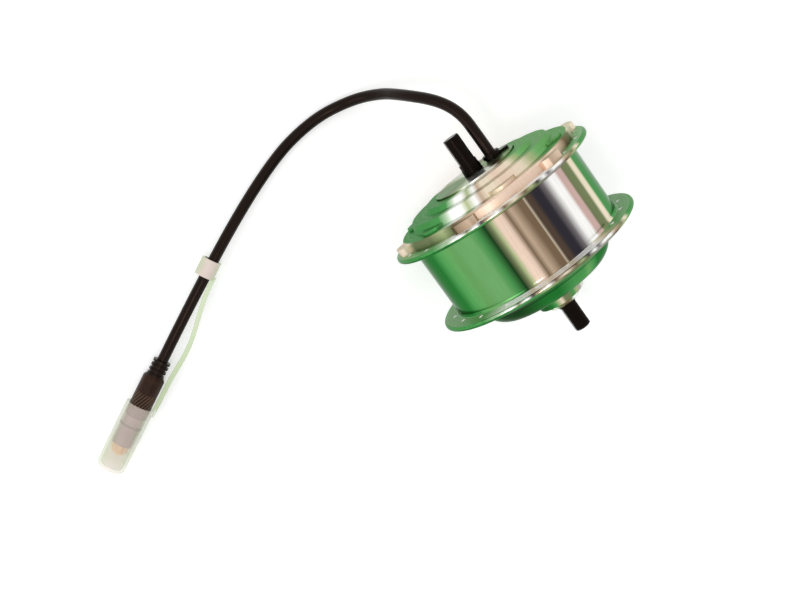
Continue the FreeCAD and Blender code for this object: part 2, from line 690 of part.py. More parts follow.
def make_connector():
    """Strain relief, body, insert, seal ring and pins."""
    place = connector_place()
    radius, start, end = S.relief_radius, S.relief_start, S.body_start
    pitch = (end - start) / (S.relief_ribs * 2.0 + 1.0)
    corners = [(None, start), (radius, start)]
    for rib in range(int(S.relief_ribs.value)):
        dip = start + pitch * (2.0 * rib + 1.0)
        corners += [(radius, dip), (radius - 1.0, dip), (radius - 1.0, dip + pitch),
                    (radius, dip + pitch)]
    corners += [(radius, end), (None, end)]
    keep(turned("strain_relief", corners, place), "strain_relief")
    body = turned("connector_body", [
        (None, end), (S.body_radius - 1.2, end), (S.body_radius, end + 1.8),
        (S.body_radius, S.cap_start + 4.0), (S.body_radius - 0.2, S.cap_start + 4.4),
        (S.body_radius - 0.2, S.cap_start + 8.0), (None, S.cap_start + 8.0)], place)
    keep(body, "connector_body")
    insert_start = S.cap_start + 8.0
    groove = insert_start + 6.0
    insert = turned("connector_insert", [
        (None, insert_start), (S.insert_radius, insert_start), (S.insert_radius, groove),
        (S.insert_radius - 0.8, groove), (S.insert_radius - 0.8, groove + 2.0),
        (S.insert_radius, groove + 2.0), (S.insert_radius, S.insert_end),
        (None, S.insert_end)], place)
    keep(insert, "connector_insert")
    seal = turned("connector_seal", [
        (S.insert_radius - 0.8, groove), (S.body_radius - 0.1, groove + 0.4),
        (S.body_radius - 0.1, groove + 1.6), (S.insert_radius - 0.8, groove + 2.0)], place)
    keep(seal, "connector_seal")
    for name, pin, track, count, end in (
            ("power_pins", S.power_pin_radius, S.power_pin_circle, 3, S.pins_end),
            ("signal_pins", S.signal_pin_radius, S.signal_pin_circle, S.signal_pins.value,
             S.insert_end + S.signal_pin_length)):
        pins = []
        for index in range(int(count)):
            spot = spin_direction(360.0 * index / count) * track.value
            spot += Vector(0, S.insert_end.value, 0)
            length = (end - S.insert_end).value
            pin_shape = rod(pin.value, length, spot)
            tip = [edge for edge in pin_shape.Edges
                   if abs(edge.BoundBox.YMin - spot.y - length) < 1e-6]
            pins.append(pin_shape.makeChamfer(pin.value * 0.4, tip[:1]))
        feature(name, Part.makeCompound(pins)).Placement = place


def make_cap():
    """Moulded cap with its strap and the ring that slides on the cable."""
    outer, inner = S.cap_radius, S.cap_radius - S.cap_wall
    start, end = S.cap_start.value, (S.cap_start + S.cap_length).value
    shell = rod(outer.value, S.cap_length.value, Vector(0, start, 0))
    closed = [edge for edge in shell.Edges if abs(edge.BoundBox.YMin - end) < 1e-6]
    shell = shell.makeFillet(S.cap_end_rounding.value, closed[:1])
    hollow = rod(inner.value, S.cap_length.value - S.cap_wall.value, Vector(0, start, 0))
    floor = [edge for edge in hollow.Edges
             if abs(edge.BoundBox.YMin - (end - S.cap_wall.value)) < 1e-6]
    hollow = hollow.makeFillet(S.cap_end_rounding.value * 0.6, floor[:1])
    ring_length = S.tether_ring_length.value
    loop = rod(S.tether_ring_radius.value, ring_length, Vector(0, 0, 0))
    bore = rod(S.tether_ring_bore.value, ring_length, Vector(0, 0, 0))
    half = S.strap_width.value / 2.0
    low = (S.tether_ring_radius - S.strap_sink).value
    rise = S.strap_bow.value - low
    first = ring_length - S.strap_overlap.value
    run = start + S.strap_cap_overlap.value - first
    sides = []
    for shift in (half, -half):
        side = Part.BSplineCurve()
        side.interpolate([Vector(-(low + rise * up + shift), first + run * share, 0)
                          for share, up in STRAP_LINE])
        sides.append(side.toShape())
    closing = [Part.LineSegment(sides[0].Vertexes[index].Point,
                                sides[1].Vertexes[index].Point).toShape() for index in (0, -1)]
    face = Part.Face(Part.Wire(Part.__sortEdges__(sides + closing)))
    strap = face.extrude(Vector(0, 0, S.strap_thickness.value))
    strap.translate(Vector(0, 0, -S.strap_thickness.value / 2.0))
    cap = shell.fuse([loop, strap]).cut(hollow).cut(bore)
    feature("connector_cap", cap).Placement = connector_place()


# Stator
def make_stator():
    """Hub, toothed core, a coil on each tooth, sensor board and leads."""
    bore, core_bore = S.axle_body_radius, S.stator_bore
    start, end = S.stator_station, magnet_end
    rim, web, web_end = core_bore - 3.0, start + 5.0, start + 11.0
    hub = turned("stator_hub", [
        (bore, sleeve_joint), (sleeve_radius, sleeve_joint), (sleeve_radius, web),
        (rim, web), (rim, start), (core_bore, start), (core_bore, end), (rim, end),
        (rim, web_end), (sleeve_radius, web_end), (sleeve_radius, end + 1.8),
        (bore, end + 1.8)])
    keep(hub, "stator_hub")
    teeth = int(S.stator_teeth.value)
    base = Vector(0, (start - HALF).value, 0)
    length = S.stator_length.value
    yoke = rod(S.yoke_radius.value, length, base)
    tips = rod(S.stator_radius.value, length, base)
    tips = tips.cut(rod(S.shoe_radius.value, length, base))
    width, reach = S.tooth_width.value, S.stator_radius.value
    arms, gaps = [], []
    for index in range(teeth):
        angle = 360.0 * index / teeth
        arm = Part.makeBox(width, length, reach - 2.0, Vector(-width / 2.0, base.y, 0))
        arm.rotate(Vector(0, 0, 0), Vector(0, 1, 0), angle)
        arms.append(arm)
        gap = Part.makeBox(S.slot_opening.value, length, reach + 2.0,
                           Vector(-S.slot_opening.value / 2.0, base.y, 0))
        gap.rotate(Vector(0, 0, 0), Vector(0, 1, 0), angle + 180.0 / teeth)
        gaps.append(gap)
    tips = tips.cut(Part.makeCompound(gaps))
    core = yoke.fuse(arms + tips.Solids).removeSplitter()
    core = core.cut(rod(core_bore.value, length, base))
    feature("stator_core", core)
    coils = []
    low, high = S.yoke_radius.value + 0.5, S.shoe_radius.value - 0.5
    inner, build, over = width / 2.0 + S.coil_gap.value, S.coil_wall.value, S.coil_overhang.value
    for index in range(teeth):
        block = Part.makeBox((inner + build) * 2.0, length + over * 2.0, high - low,
                             Vector(-inner - build, base.y - over, low))
        upright = [edge for edge in block.Edges
                   if edge.BoundBox.ZLength > edge.BoundBox.XLength + edge.BoundBox.YLength]
        block = block.makeChamfer(build * 0.7, upright)
        space = S.coil_gap.value
        window = Part.makeBox(inner * 2.0, length + space * 2.0, high - low,
                              Vector(-inner, base.y - space, low))
        coil = block.cut(window)
        coil.rotate(Vector(0, 0, 0), Vector(0, 1, 0), 360.0 * index / teeth)
        coils.append(coil)
    feature("stator_windings", Part.makeCompound(coils))
    board = ring("hall_sensor_board", sleeve_radius, S.board_radius, S.board_station,
                 S.board_station + S.board_thickness)
    keep(board, "hall_sensor_board")
    leads = []
    lead_start = S.main_bearing_station.value + S.disc_plate.value
    for index in (-1, 0, 1):
        spot = Vector(-S.outlet_offset.value, lead_start - HALF.value, 0)
        spot.z = index * S.lead_radius.value * 2.2
        leads.append(rod(S.lead_radius.value, S.board_station.value - lead_start, spot))
    feature("phase_leads", Part.makeCompound(leads))


# Rotor
def make_rotor():
    """Can with its magnets, and the sun gear with its bush."""
    plate_end = S.can_plate_station + S.can_plate
    seat = S.rotor_bearing_radius
    can = turned("rotor_can", [
        (can_bore, S.can_station), (can_outside, S.can_station), (can_outside, plate_end),
        (S.rotor_hub_radius, plate_end), (S.rotor_hub_radius, S.gear_station),
        (S.axle_end_radius + 1.0, S.gear_station), (S.axle_end_radius + 1.0, rotor_bearing_end),
        (seat, rotor_bearing_end), (seat, S.rotor_bearing_station),
        (S.rotor_hub_radius, S.rotor_bearing_station), (S.rotor_hub_radius, S.can_plate_station),
        (can_bore, S.can_plate_station)])
    keep(can, "rotor_can")
    length = S.stator_length.value
    base = Vector(0, (S.stator_station - HALF).value, 0)
    shell = rod(can_bore.value, length, base).cut(rod(magnet_bore.value, length, base))
    count = int(S.magnet_count.value)
    for index in range(count):
        gap = Part.makeBox(S.magnet_spacing.value, length, can_bore.value + 1.0,
                           Vector(-S.magnet_spacing.value / 2.0, base.y, 0))
        gap.rotate(Vector(0, 0, 0), Vector(0, 1, 0), 360.0 * (index + 0.5) / count)
        shell = shell.cut(gap)
    feature("rotor_magnets", Part.makeCompound(shell.Solids))
    module = S.gear_module.value
    station = S.gear_station.value
    pitch = sun_pitch.value
    teeth = gear_wire(S.sun_teeth.value, pitch - 1.25 * module, pitch + module,
                      S.backlash.value, station, False)
    sun = gear_blank(teeth, S.gear_length.value)
    bore = rod(sun_bush_outside.value, S.gear_length.value, on_axle(0, 0, station))
    feature("sun_gear", sun.cut(bore))
    bush = ring("sun_bush", S.axle_end_radius + S.running_gap, sun_bush_outside,
                S.gear_station + 1.0, gear_end)
    keep(bush, "sun_bush")


# Planets, carrier and clutch
def make_planets():
    """Three planet gears on bushes and pins."""
    module = S.gear_module.value
    pitch = planet_pitch.value
    start, length = planet_start.value, (planet_end - planet_start).value
    pins, clips = [], []
    half_tooth = 180.0 / S.planet_teeth.value
    for index in range(3):
        angle = 120.0 * index
        centre = on_axle(pin_circle.value, angle, 0)
        centre.y = 0
        wire = gear_wire(S.planet_teeth.value, pitch - 1.25 * module, pitch + module,
                         S.backlash.value, start, False)
        gear = gear_blank(wire, length)
        gear = gear.cut(rod(planet_bore.value, length, on_axle(0, 0, start)))
        gear.rotate(Vector(0, 0, 0), Vector(0, 1, 0), half_tooth + angle)
        gear.translate(centre)
        feature("planet_gear_%d" % (index + 1), gear)
        base = on_axle(0, 0, start) + centre
        bush = rod(planet_bore.value, length, base)
        hole = rod(S.planet_pin_radius.value + S.running_gap.value, length, base)
        feature("planet_bush_%d" % (index + 1), bush.cut(hole))
        clip = S.clip_thickness.value
        pin_start = start - clip - S.free_gap.value
        pin_base = on_axle(0, 0, pin_start) + centre
        pin = rod(S.planet_pin_radius.value, carrier_end.value - pin_start, pin_base)
        clip_base = on_axle(0, 0, start - clip - S.running_gap.value) + centre
        neck = rod(S.planet_pin_radius.value - 0.6, clip, clip_base)
        sleeve = rod(S.planet_pin_radius.value + 1.0, clip, clip_base)
        pins.append(pin.cut(sleeve.cut(neck)))
        clips.append(rod(S.planet_pin_radius.value + 1.6, clip, clip_base).cut(neck))
    feature("planet_pins", Part.makeCompound(pins))
    feature("pin_clips", Part.makeCompound(clips))


def make_carrier():
    """Three-armed carrier on the one-way clutch, with spacers and washer."""
    plate = S.carrier_plate.value
    start = carrier_station.value
    hub_outside = (race_outside + S.carrier_hub_wall).value
    hub = rod(hub_outside, clutch_end.value - start, on_axle(0, 0, start))
    arms = []
    edge = S.planet_pin_radius.value + S.carrier_edge.value / 2.0
    for index in range(3):
        spot = on_axle(pin_circle.value, 120.0 * index, start)
        boss = rod(edge, plate, spot)
        arm = Part.makeBox(edge * 2.0, plate, pin_circle.value,
                           Vector(-edge, start - HALF.value, 0))
        arm.rotate(Vector(0, 0, 0), Vector(0, 1, 0), 120.0 * index)
        arms += [boss, arm]
    carrier = hub.fuse(arms).removeSplitter()
    carrier = carrier.cut(rod(race_outside.value, 40.0, on_axle(0, 0, start - 5.0)))
    for index in range(3):
        spot = on_axle(pin_circle.value, 120.0 * index, start - 1.0)
        carrier = carrier.cut(rod(S.planet_pin_radius.value, plate + 2.0, spot))
    feature("planet_carrier", carrier)
    race = ring("clutch_race", race_bore, race_outside, clutch_start, clutch_end)
    keep(race, "clutch_race")
    count = int(S.clutch_rollers.value)
    rollers = []
    for index in range(count):
        spot = on_axle((S.axle_end_radius + S.clutch_roller_radius).value,
                       360.0 * index / count, clutch_start.value + 1.0)
        rollers.append(rod(S.clutch_roller_radius.value - 0.01, S.clutch_length.value - 2.0, spot))
    feature("clutch_rollers", Part.makeCompound(rollers))
    washer = ring("thrust_washer", S.axle_end_radius, race_bore, gear_end + 0.2, clutch_start)
    keep(washer, "thrust_washer")
    spacer = ring("axle_spacer_inner", S.axle_end_radius, S.axle_end_radius + S.spacer_inner_wall,
                  journal_end, S.rotor_bearing_station)
    keep(spacer, "axle_spacer_inner")
    spacer = ring("axle_spacer_outer", S.axle_end_radius, S.axle_end_radius + S.spacer_outer_wall,
                  clutch_end, S.far_bearing_station)
    keep(spacer, "axle_spacer_outer")


# Hub shell, cover, ring gear and far seal ring
def make_shell():
    """Drum with two flanges and the domed far end, turned in one, with its spoke holes."""
    half = S.flange_thickness / 2.0
    a, b = S.flange_station, flange_b
    edge, root = S.flange_rounding, S.flange_root
    rim, drum, mouth = S.flange_radius, S.drum_radius, S.mouth_radius
    wall, lip = S.dome_wall, S.nose_lip
    boss = S.far_bearing_radius + wall
    stop = ring_seat - S.ring_stop
    nose_bore = S.axle_end_radius + S.nose_lip_height
    lip_bore = S.far_bearing_radius - S.nose_lip_height
    shell = turned("hub_shell", [
        (mouth, a - half), (rim - edge, a - half), (rim, a - half + edge, edge, -1.0),
        (rim, a + half - edge), (rim - edge, a + half, edge, -1.0),
        (drum + root, a + half), (drum, a + half + root, root, 1.0),
        (drum, b - half - root), (drum + root, b - half, root, 1.0),
        (rim - edge, b - half), (rim, b - half + edge, edge, -1.0),
        (rim, b + half - edge), (rim - edge, b + half, edge, -1.0),
        (drum - 1.0, b + half),
        (S.dome_shoulder_radius, S.dome_shoulder_station, S.dome_arc, -1.0),
        (S.dome_step_radius, S.dome_step_station, S.dome_step_arc, -1.0),
        (S.dome_end_radius, S.dome_end_station, S.dome_cone_arc, -1.0),
        (S.nose_foot_radius, S.nose_foot_station),
        (S.nose_radius, S.nose_station), (S.seal_ring_radius, S.nose_station),
        (S.seal_ring_radius, S.seal_ring_station), (nose_bore, S.seal_ring_station),
        (nose_bore, far_bearing_end + lip), (lip_bore, far_bearing_end + lip),
        (lip_bore, far_bearing_end),
        (S.far_bearing_radius, far_bearing_end), (S.far_bearing_radius, S.far_bearing_station),
        (boss, S.far_bearing_station), (boss, S.dome_end_station - wall),
        (S.dome_step_radius - wall, S.dome_step_station - wall),
        (S.dome_shoulder_radius - wall, S.dome_shoulder_station - wall),
        (stop, gear_end + S.ring_stop, S.dome_inside_arc, 1.0), (stop, gear_end),
        (ring_seat, gear_end),
        (ring_seat, S.gear_station - 1.0), (mouth, S.gear_station - 2.0)])
    near_turn = S.cover_turn + as_size(180.0) / S.spokes_per_flange
    for name, station, turn, radius in (
            ("near", a - half, near_turn, near_spoke_radius),
            ("far", b - half - root, S.far_spoke_turn, far_spoke_radius)):
        sketch = cross_sketch(shell, "spoke_hole_" + name, station, turn)
        circle(sketch, None, radius, S.spoke_hole_radius)
        cut = pocket(shell, sketch, S.flange_thickness + root, "spoke_hole_cut_" + name)
        around(shell, cut, S.spokes_per_flange, "spoke_holes_" + name)
    keep(shell, "hub_shell")


def make_cover():
    """Stepped side cover with spanner lugs and round pads."""
    face = S.flange_station - S.flange_thickness / 2.0
    mouth, wall = S.mouth_radius, S.cover_wall
    bore = S.disc_radius + S.seal_gap
    seat = S.main_bearing_radius
    boss = seat + wall
    bevel = S.cover_bevel
    hollow = S.cover_hollow_station
    hollow_radius = S.cover_tier_radius - wall
    cover = turned("side_cover", [
        (bore, S.cover_top_station), (S.cover_top_radius - bevel, S.cover_top_station),
        (S.cover_top_radius + bevel, S.cover_tier_station),
        (S.cover_tier_radius - bevel, S.cover_tier_station),
        (S.cover_tier_radius + bevel, S.cover_band_station),
        (S.cover_band_radius - bevel, S.cover_band_station),
        (S.cover_band_radius, S.cover_band_station + bevel), (S.cover_band_radius, face),
        (mouth, face), (mouth, face + S.cover_spigot_length),
        (mouth - wall, face + S.cover_spigot_length), (mouth - wall, face - bevel),
        (hollow_radius, hollow), (boss, hollow), (boss, main_bearing_end),
        (seat, main_bearing_end), (seat, S.main_bearing_station),
        (bore, S.main_bearing_station)])
    lug = cross_sketch(cover, "lug", face, S.cover_turn)
    half = S.cover_lug_width / 2.0
    low = S.cover_tier_radius
    shoulder = S.cover_lug_radius - S.cover_lug_chamfer
    tip = half - S.cover_lug_chamfer
    corners = [(half * -1.0, low), (half, low), (half, shoulder), (tip, S.cover_lug_radius),
               (tip * -1.0, S.cover_lug_radius), (half * -1.0, shoulder)]
    outline(lug, corners)
    raised = pad(cover, lug, face - S.cover_lug_station, "lug_pad")
    around(cover, raised, S.cover_lugs, "lugs")
    between = S.cover_turn + as_size(180.0) / S.cover_lugs
    boss_sketch = cross_sketch(cover, "round_pad", face, between)
    circle(boss_sketch, None, S.cover_pad_circle, S.cover_pad_radius)
    raised = pad(cover, boss_sketch, face - S.cover_pad_station, "round_pad_raised")
    around(cover, raised, S.cover_lugs, "round_pads")
    inside = cross_sketch(cover, "cavity", hollow)
    circle(inside, None, None, hollow_radius)
    circle(inside, None, None, boss)
    pocket(cover, inside, face - hollow, "cavity_cut")
    keep(cover, "side_cover")


def make_ring_gear():
    """Inner-toothed ring pressed into the shell."""
    module = S.gear_module.value
    pitch = ring_pitch.value
    station, length = S.gear_station.value, S.gear_length.value
    wire = gear_wire(ring_teeth.value, pitch - module, pitch + 1.25 * module,
                     S.backlash.value, station, True)
    blank = rod(ring_seat.value, length, on_axle(0, 0, station))
    feature("ring_gear", blank.cut(gear_blank(wire, length)))
    inner, outer, end = S.axle_end_radius + S.seal_ring_gap, S.seal_ring_radius, S.seal_ring_end
    ring_item = turned("axle_seal_ring", [
        (inner, S.seal_ring_station), (outer, S.seal_ring_station),
        (outer, end - S.seal_ring_chamfer), (outer - S.seal_ring_chamfer, end), (inner, end)])
    keep(ring_item, "axle_seal_ring")


def check_and_write():
    """Recompute, refuse anything broken, and write one file for each node."""
    doc.recompute()
    for item in doc.Objects:
        for state in ("Invalid", "Error"):
            if state in item.State:
                raise RuntimeError("%s is %s" % (item.Label, state))
    for item in NODES:
        shape = item.Shape
        if shape.isNull() or not shape.isValid() or not shape.Solids:
            raise RuntimeError("%s has no valid solid" % item.Label)
        shape.exportStep("parts/%s.step" % item.Label)
        print("%-26s %2d solids %10.1f mm3" % (item.Label, len(shape.Solids), shape.Volume))


make_axle()
make_outlet_disc()
make_gland()
make_cable()
make_connector()
make_cap()
make_stator()
make_rotor()
make_planets()
make_carrier()
bearing("main_bearing", S.disc_journal_radius, S.main_bearing_radius, S.main_bearing_station,
        S.main_bearing_width, S.race_wall, S.main_ball_radius, S.main_balls)
bearing("far_bearing", S.axle_end_radius, S.far_bearing_radius, S.far_bearing_station,
        S.far_bearing_width, S.race_wall, S.far_ball_radius, S.far_balls)
bearing("rotor_bearing", S.axle_end_radius, S.rotor_bearing_radius, S.rotor_bearing_station,
        S.rotor_bearing_width, S.rotor_race_wall, S.rotor_ball_radius, S.rotor_balls)
make_shell()
make_cover()
make_ring_gear()
check_and_write()
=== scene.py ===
"""Looks of a geared hub motor with its cable and capped connector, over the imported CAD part.

Sizes are in metres in the part's own frame: the axle lies along Y with the cable side at -Y,
+Z is up, and the origin is on the axle at its middle.
"""

import json
import logging
import math
from abc import ABC, abstractmethod
from dataclasses import dataclass, field
from enum import Enum, IntEnum
from typing import ClassVar

import bmesh
import bpy
from mathutils import Matrix, Vector

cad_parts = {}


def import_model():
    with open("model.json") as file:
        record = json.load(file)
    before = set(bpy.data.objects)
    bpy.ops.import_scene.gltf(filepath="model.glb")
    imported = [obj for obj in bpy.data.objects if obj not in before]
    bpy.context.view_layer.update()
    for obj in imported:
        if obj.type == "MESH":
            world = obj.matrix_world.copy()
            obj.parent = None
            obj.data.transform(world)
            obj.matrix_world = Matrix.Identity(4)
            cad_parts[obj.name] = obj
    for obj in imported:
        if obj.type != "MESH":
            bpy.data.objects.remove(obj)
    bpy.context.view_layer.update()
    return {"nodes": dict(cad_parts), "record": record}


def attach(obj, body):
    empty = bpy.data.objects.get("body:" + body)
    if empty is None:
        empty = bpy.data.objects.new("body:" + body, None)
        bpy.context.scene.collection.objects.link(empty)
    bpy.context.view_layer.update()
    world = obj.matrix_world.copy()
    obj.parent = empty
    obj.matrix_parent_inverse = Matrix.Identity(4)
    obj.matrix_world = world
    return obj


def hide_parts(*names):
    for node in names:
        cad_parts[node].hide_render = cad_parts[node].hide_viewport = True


LOG = logging.getLogger("hub_motor")
MM = 0.001

Colour = tuple[float, float, float]
Range = tuple[float, float]
Socket = bpy.types.NodeSocket
Value = Socket | float | Colour | Vector
Nodes = dict[str, bpy.types.Object]

WHITE: Colour = (1.0, 1.0, 1.0)
# Tint of the reflections on the black pieces.
WARM_GLOSS: Colour = (1.0, 0.66, 0.52)
# Values of a noise texture between which a surface changes, for a strong and a soft pattern.
NOISE_MIDDLE: Range = (0.35, 0.65)
NOISE_BULK: Range = (0.3, 0.7)
# Octaves of a noise texture that stands for a fine pattern.
FINE_DETAIL = 3.0


def shade(red: int, green: int, blue: int) -> Colour:
    """Turn a colour as seen on a screen into the linear colour that shaders take.

    Args:
        red: Red, 0 to 255.
        green: Green, 0 to 255.
        blue: Blue, 0 to 255.

    Returns:
        The linear red, green and blue, 0 to 1, by the sRGB curve.
    """
    parts = (red / 255.0, green / 255.0, blue / 255.0)
    return tuple(p / 12.92 if p <= 0.04045 else ((p + 0.055) / 1.055) ** 2.4 for p in parts)


class PaintedReflection(Enum):
    """Painted reflections: colours of the green surroundings and the room that the polished
    aluminium would mirror, painted into its base colour.
    """

    DEEP_GREEN = shade(34, 112, 46)
    GREEN = shade(74, 146, 79)
    LEAF = shade(104, 162, 94)
    LIME = shade(112, 170, 106)
    PALE_GREEN = shade(168, 198, 160)
    MOSS = shade(112, 122, 86)
    OLIVE = shade(168, 180, 132)
    FOREST = shade(32, 86, 38)
    BLACK_GREEN = shade(24, 58, 26)
    CREAM = shade(232, 218, 194)
    SAND = shade(190, 166, 142)
    PEACH = shade(230, 204, 184)
    ROSE = shade(202, 172, 164)
    UMBER = shade(118, 98, 76)
    BARK = shade(80, 66, 55)
    INK = shade(48, 46, 52)
    SLATE = shade(112, 106, 108)
    ASH = shade(160, 156, 148)
    SNOW = shade(250, 249, 246)


@dataclass(frozen=True)
class Streak:
    """A painted reflection at an angle round the axle.

    Attributes:
        angle: Degrees from +Z, positive towards +X.
        tone: The colour painted there as a reflection.
    """

    angle: float
    tone: PaintedReflection


def streaks(*pairs: tuple[float, PaintedReflection]) -> tuple[Streak, ...]:
    """Make streaks from pairs of an angle and a painted reflection.

    Args:
        *pairs: Angles in degrees with their painted reflections, from -90 to 90.

    Returns:
        The streaks in the same order.
    """
    return tuple(Streak(angle, tone) for angle, tone in pairs)


class NodeBench:
    """A material under construction, with short calls for its nodes."""

    def __init__(self, name: str) -> None:
        """Start a material that holds only a principled shader.

        Args:
            name: Name of the material.
        """
        self.material = bpy.data.materials.new(name)
        self.material.use_nodes = True
        self.tree = self.material.node_tree
        self.tree.nodes.clear()
        output = self.tree.nodes.new("ShaderNodeOutputMaterial")
        self.shader = self.tree.nodes.new("ShaderNodeBsdfPrincipled")
        self.join(self.shader.outputs["BSDF"], output.inputs["Surface"])

    def join(self, source: Socket, target: Socket) -> None:
        """Link two sockets."""
        self.tree.links.new(source, target)

    def feed(self, socket: Socket, value: Value) -> None:
        """Give a socket a link or a plain value.

        Args:
            socket: The input to fill.
            value: Another node's output, or a number, a colour or a vector.
        """
        if isinstance(value, Socket):
            self.join(value, socket)
        elif socket.type == "RGBA":
            socket.default_value = (*value, 1.0)
        else:
            socket.default_value = value

    def set(self, **values: Value) -> None:
        """Fill the shader's inputs.

        Args:
            **values: What goes in, by the input's name with underscores for spaces.
        """
        for name, value in values.items():
            self.feed(self.shader.inputs[name.replace("_", " ")], value)

    def calculate(self, operation: str, first: Value, second: Value = 0.0) -> Socket:
        """Add a math node.

        Args:
            operation: Name of the operation.
            first: First number or socket.
            second: Second number or socket.

        Returns:
            The socket with the result.
        """
        node = self.tree.nodes.new("ShaderNodeMath")
        node.operation = operation
        self.feed(node.inputs[0], first)
        self.feed(node.inputs[1], second)
        return node.outputs[0]

    def distance(self, first: Socket, second: Socket) -> Socket:
        """Work out how far a point lies from the origin of a plane.

        Args:
            first: Its place along one axis of the plane.
            second: Its place along the other.

        Returns:
            The socket with the distance.
        """
        squares = [self.calculate("MULTIPLY", part, part) for part in (first, second)]
        return self.calculate("SQRT", self.calculate("ADD", *squares))

    def place(self) -> Socket:
        """Read the Object coordinates."""
        return self.tree.nodes.new("ShaderNodeTexCoord").outputs["Object"]

    def place_from(self, start: Vector, heading: float) -> Socket:
        """Read the Object coordinates from a start, turned about Z.

        Args:
            start: Point that becomes the origin.
            heading: Direction that becomes X, in radians from X.

        Returns:
            The socket with the vector.
        """
        moved = self.tree.nodes.new("ShaderNodeVectorMath")
        moved.operation = "SUBTRACT"
        self.join(self.place(), moved.inputs[0])
        self.feed(moved.inputs[1], start)
        turned = self.tree.nodes.new("ShaderNodeMapping")
        turned.inputs["Rotation"].default_value = (0.0, 0.0, -heading)
        self.join(moved.outputs[0], turned.inputs["Vector"])
        return turned.outputs[0]

    def split(self, vector: Socket) -> tuple[Socket, Socket, Socket]:
        """Separate a vector.

        Args:
            vector: Socket with the vector.

        Returns:
            The sockets with its X, Y and Z.
        """
        node = self.tree.nodes.new("ShaderNodeSeparateXYZ")
        self.join(vector, node.inputs[0])
        return node.outputs[0], node.outputs[1], node.outputs[2]

    def gather(self, x: Value, y: Value, z: Value = 0.0) -> Socket:
        """Combine numbers or sockets into a vector.

        Args:
            x: Its X.
            y: Its Y.
            z: Its Z.

        Returns:
            The socket with the vector.
        """
        node = self.tree.nodes.new("ShaderNodeCombineXYZ")
        for socket, value in zip(node.inputs, (x, y, z)):
            self.feed(socket, value)
        return node.outputs[0]

    def noise(self, vector: Socket, scale: float, detail: float = 2.0) -> Socket:
        """Add a noise texture.

        Args:
            vector: Where it is read.
            scale: Its scale.
            detail: Its octaves.

        Returns:
            The socket with the value.
        """
        node = self.tree.nodes.new("ShaderNodeTexNoise")
        self.join(vector, node.inputs["Vector"])
        node.inputs["Scale"].default_value = scale
        node.inputs["Detail"].default_value = detail
        return node.outputs["Fac"]

    def spread(self, value: Socket, source: Range, result: Range = (0.0, 1.0)) -> Socket:
        """Map a value's range to another and clamp it.

        Args:
            value: Socket with the value.
            source: Start and end of its range.
            result: What comes out at the start and at the end.

        Returns:
            The socket with the result.
        """
        node = self.tree.nodes.new("ShaderNodeMapRange")
        self.join(value, node.inputs["Value"])
        names = ("From Min", "From Max", "To Min", "To Max")
        for name, number in zip(names, (*source, *result)):
            node.inputs[name].default_value = number
        return node.outputs["Result"]

    def ramp(self, value: Socket, stops: list[tuple[float, Colour]]) -> Socket:
        """Add a colour ramp.

        Args:
            value: Socket with a number from 0 to 1.
            stops: Places on the ramp with their colours, 32 at most.

        Returns:
            The socket with the colour.
        """
        node = self.tree.nodes.new("ShaderNodeValToRGB")
        self.join(value, node.inputs["Fac"])
        elements = node.color_ramp.elements
        while len(elements) < len(stops):
            elements.new(0.5)
        for element, (spot, colour) in zip(elements, stops):
            element.position = spot
            element.color = (*colour, 1.0)
        return node.outputs["Color"]

    def blend(self, share: Value, first: Value, second: Value, mode: str = "MIX") -> Socket:
        """Mix two colours.

        Args:
            share: Share of the second.
            first: First colour or socket.
            second: Second colour or socket.
            mode: Blend mode.

        Returns:
            The socket with the colour.
        """
        node = self.tree.nodes.new("ShaderNodeMix")
        node.data_type = "RGBA"
        node.blend_type = mode
        self.feed(node.inputs["Factor"], share)
        colours = [socket for socket in node.inputs if socket.type == "RGBA"]
        for socket, value in zip(colours, (first, second)):
            self.feed(socket, value)
        return next(socket for socket in node.outputs if socket.type == "RGBA")

    def bump(self, height: Socket, strength: float, depth: float) -> None:
        """Let a height disturb the shader's normal.

        Args:
            height: Socket with the height.
            strength: How much of it shows.
            depth: Depth in metres.
        """
        node = self.tree.nodes.new("ShaderNodeBump")
        node.inputs["Strength"].default_value = strength
        node.inputs["Distance"].default_value = depth
        self.join(height, node.inputs["Height"])
        self.join(node.outputs["Normal"], self.shader.inputs["Normal"])


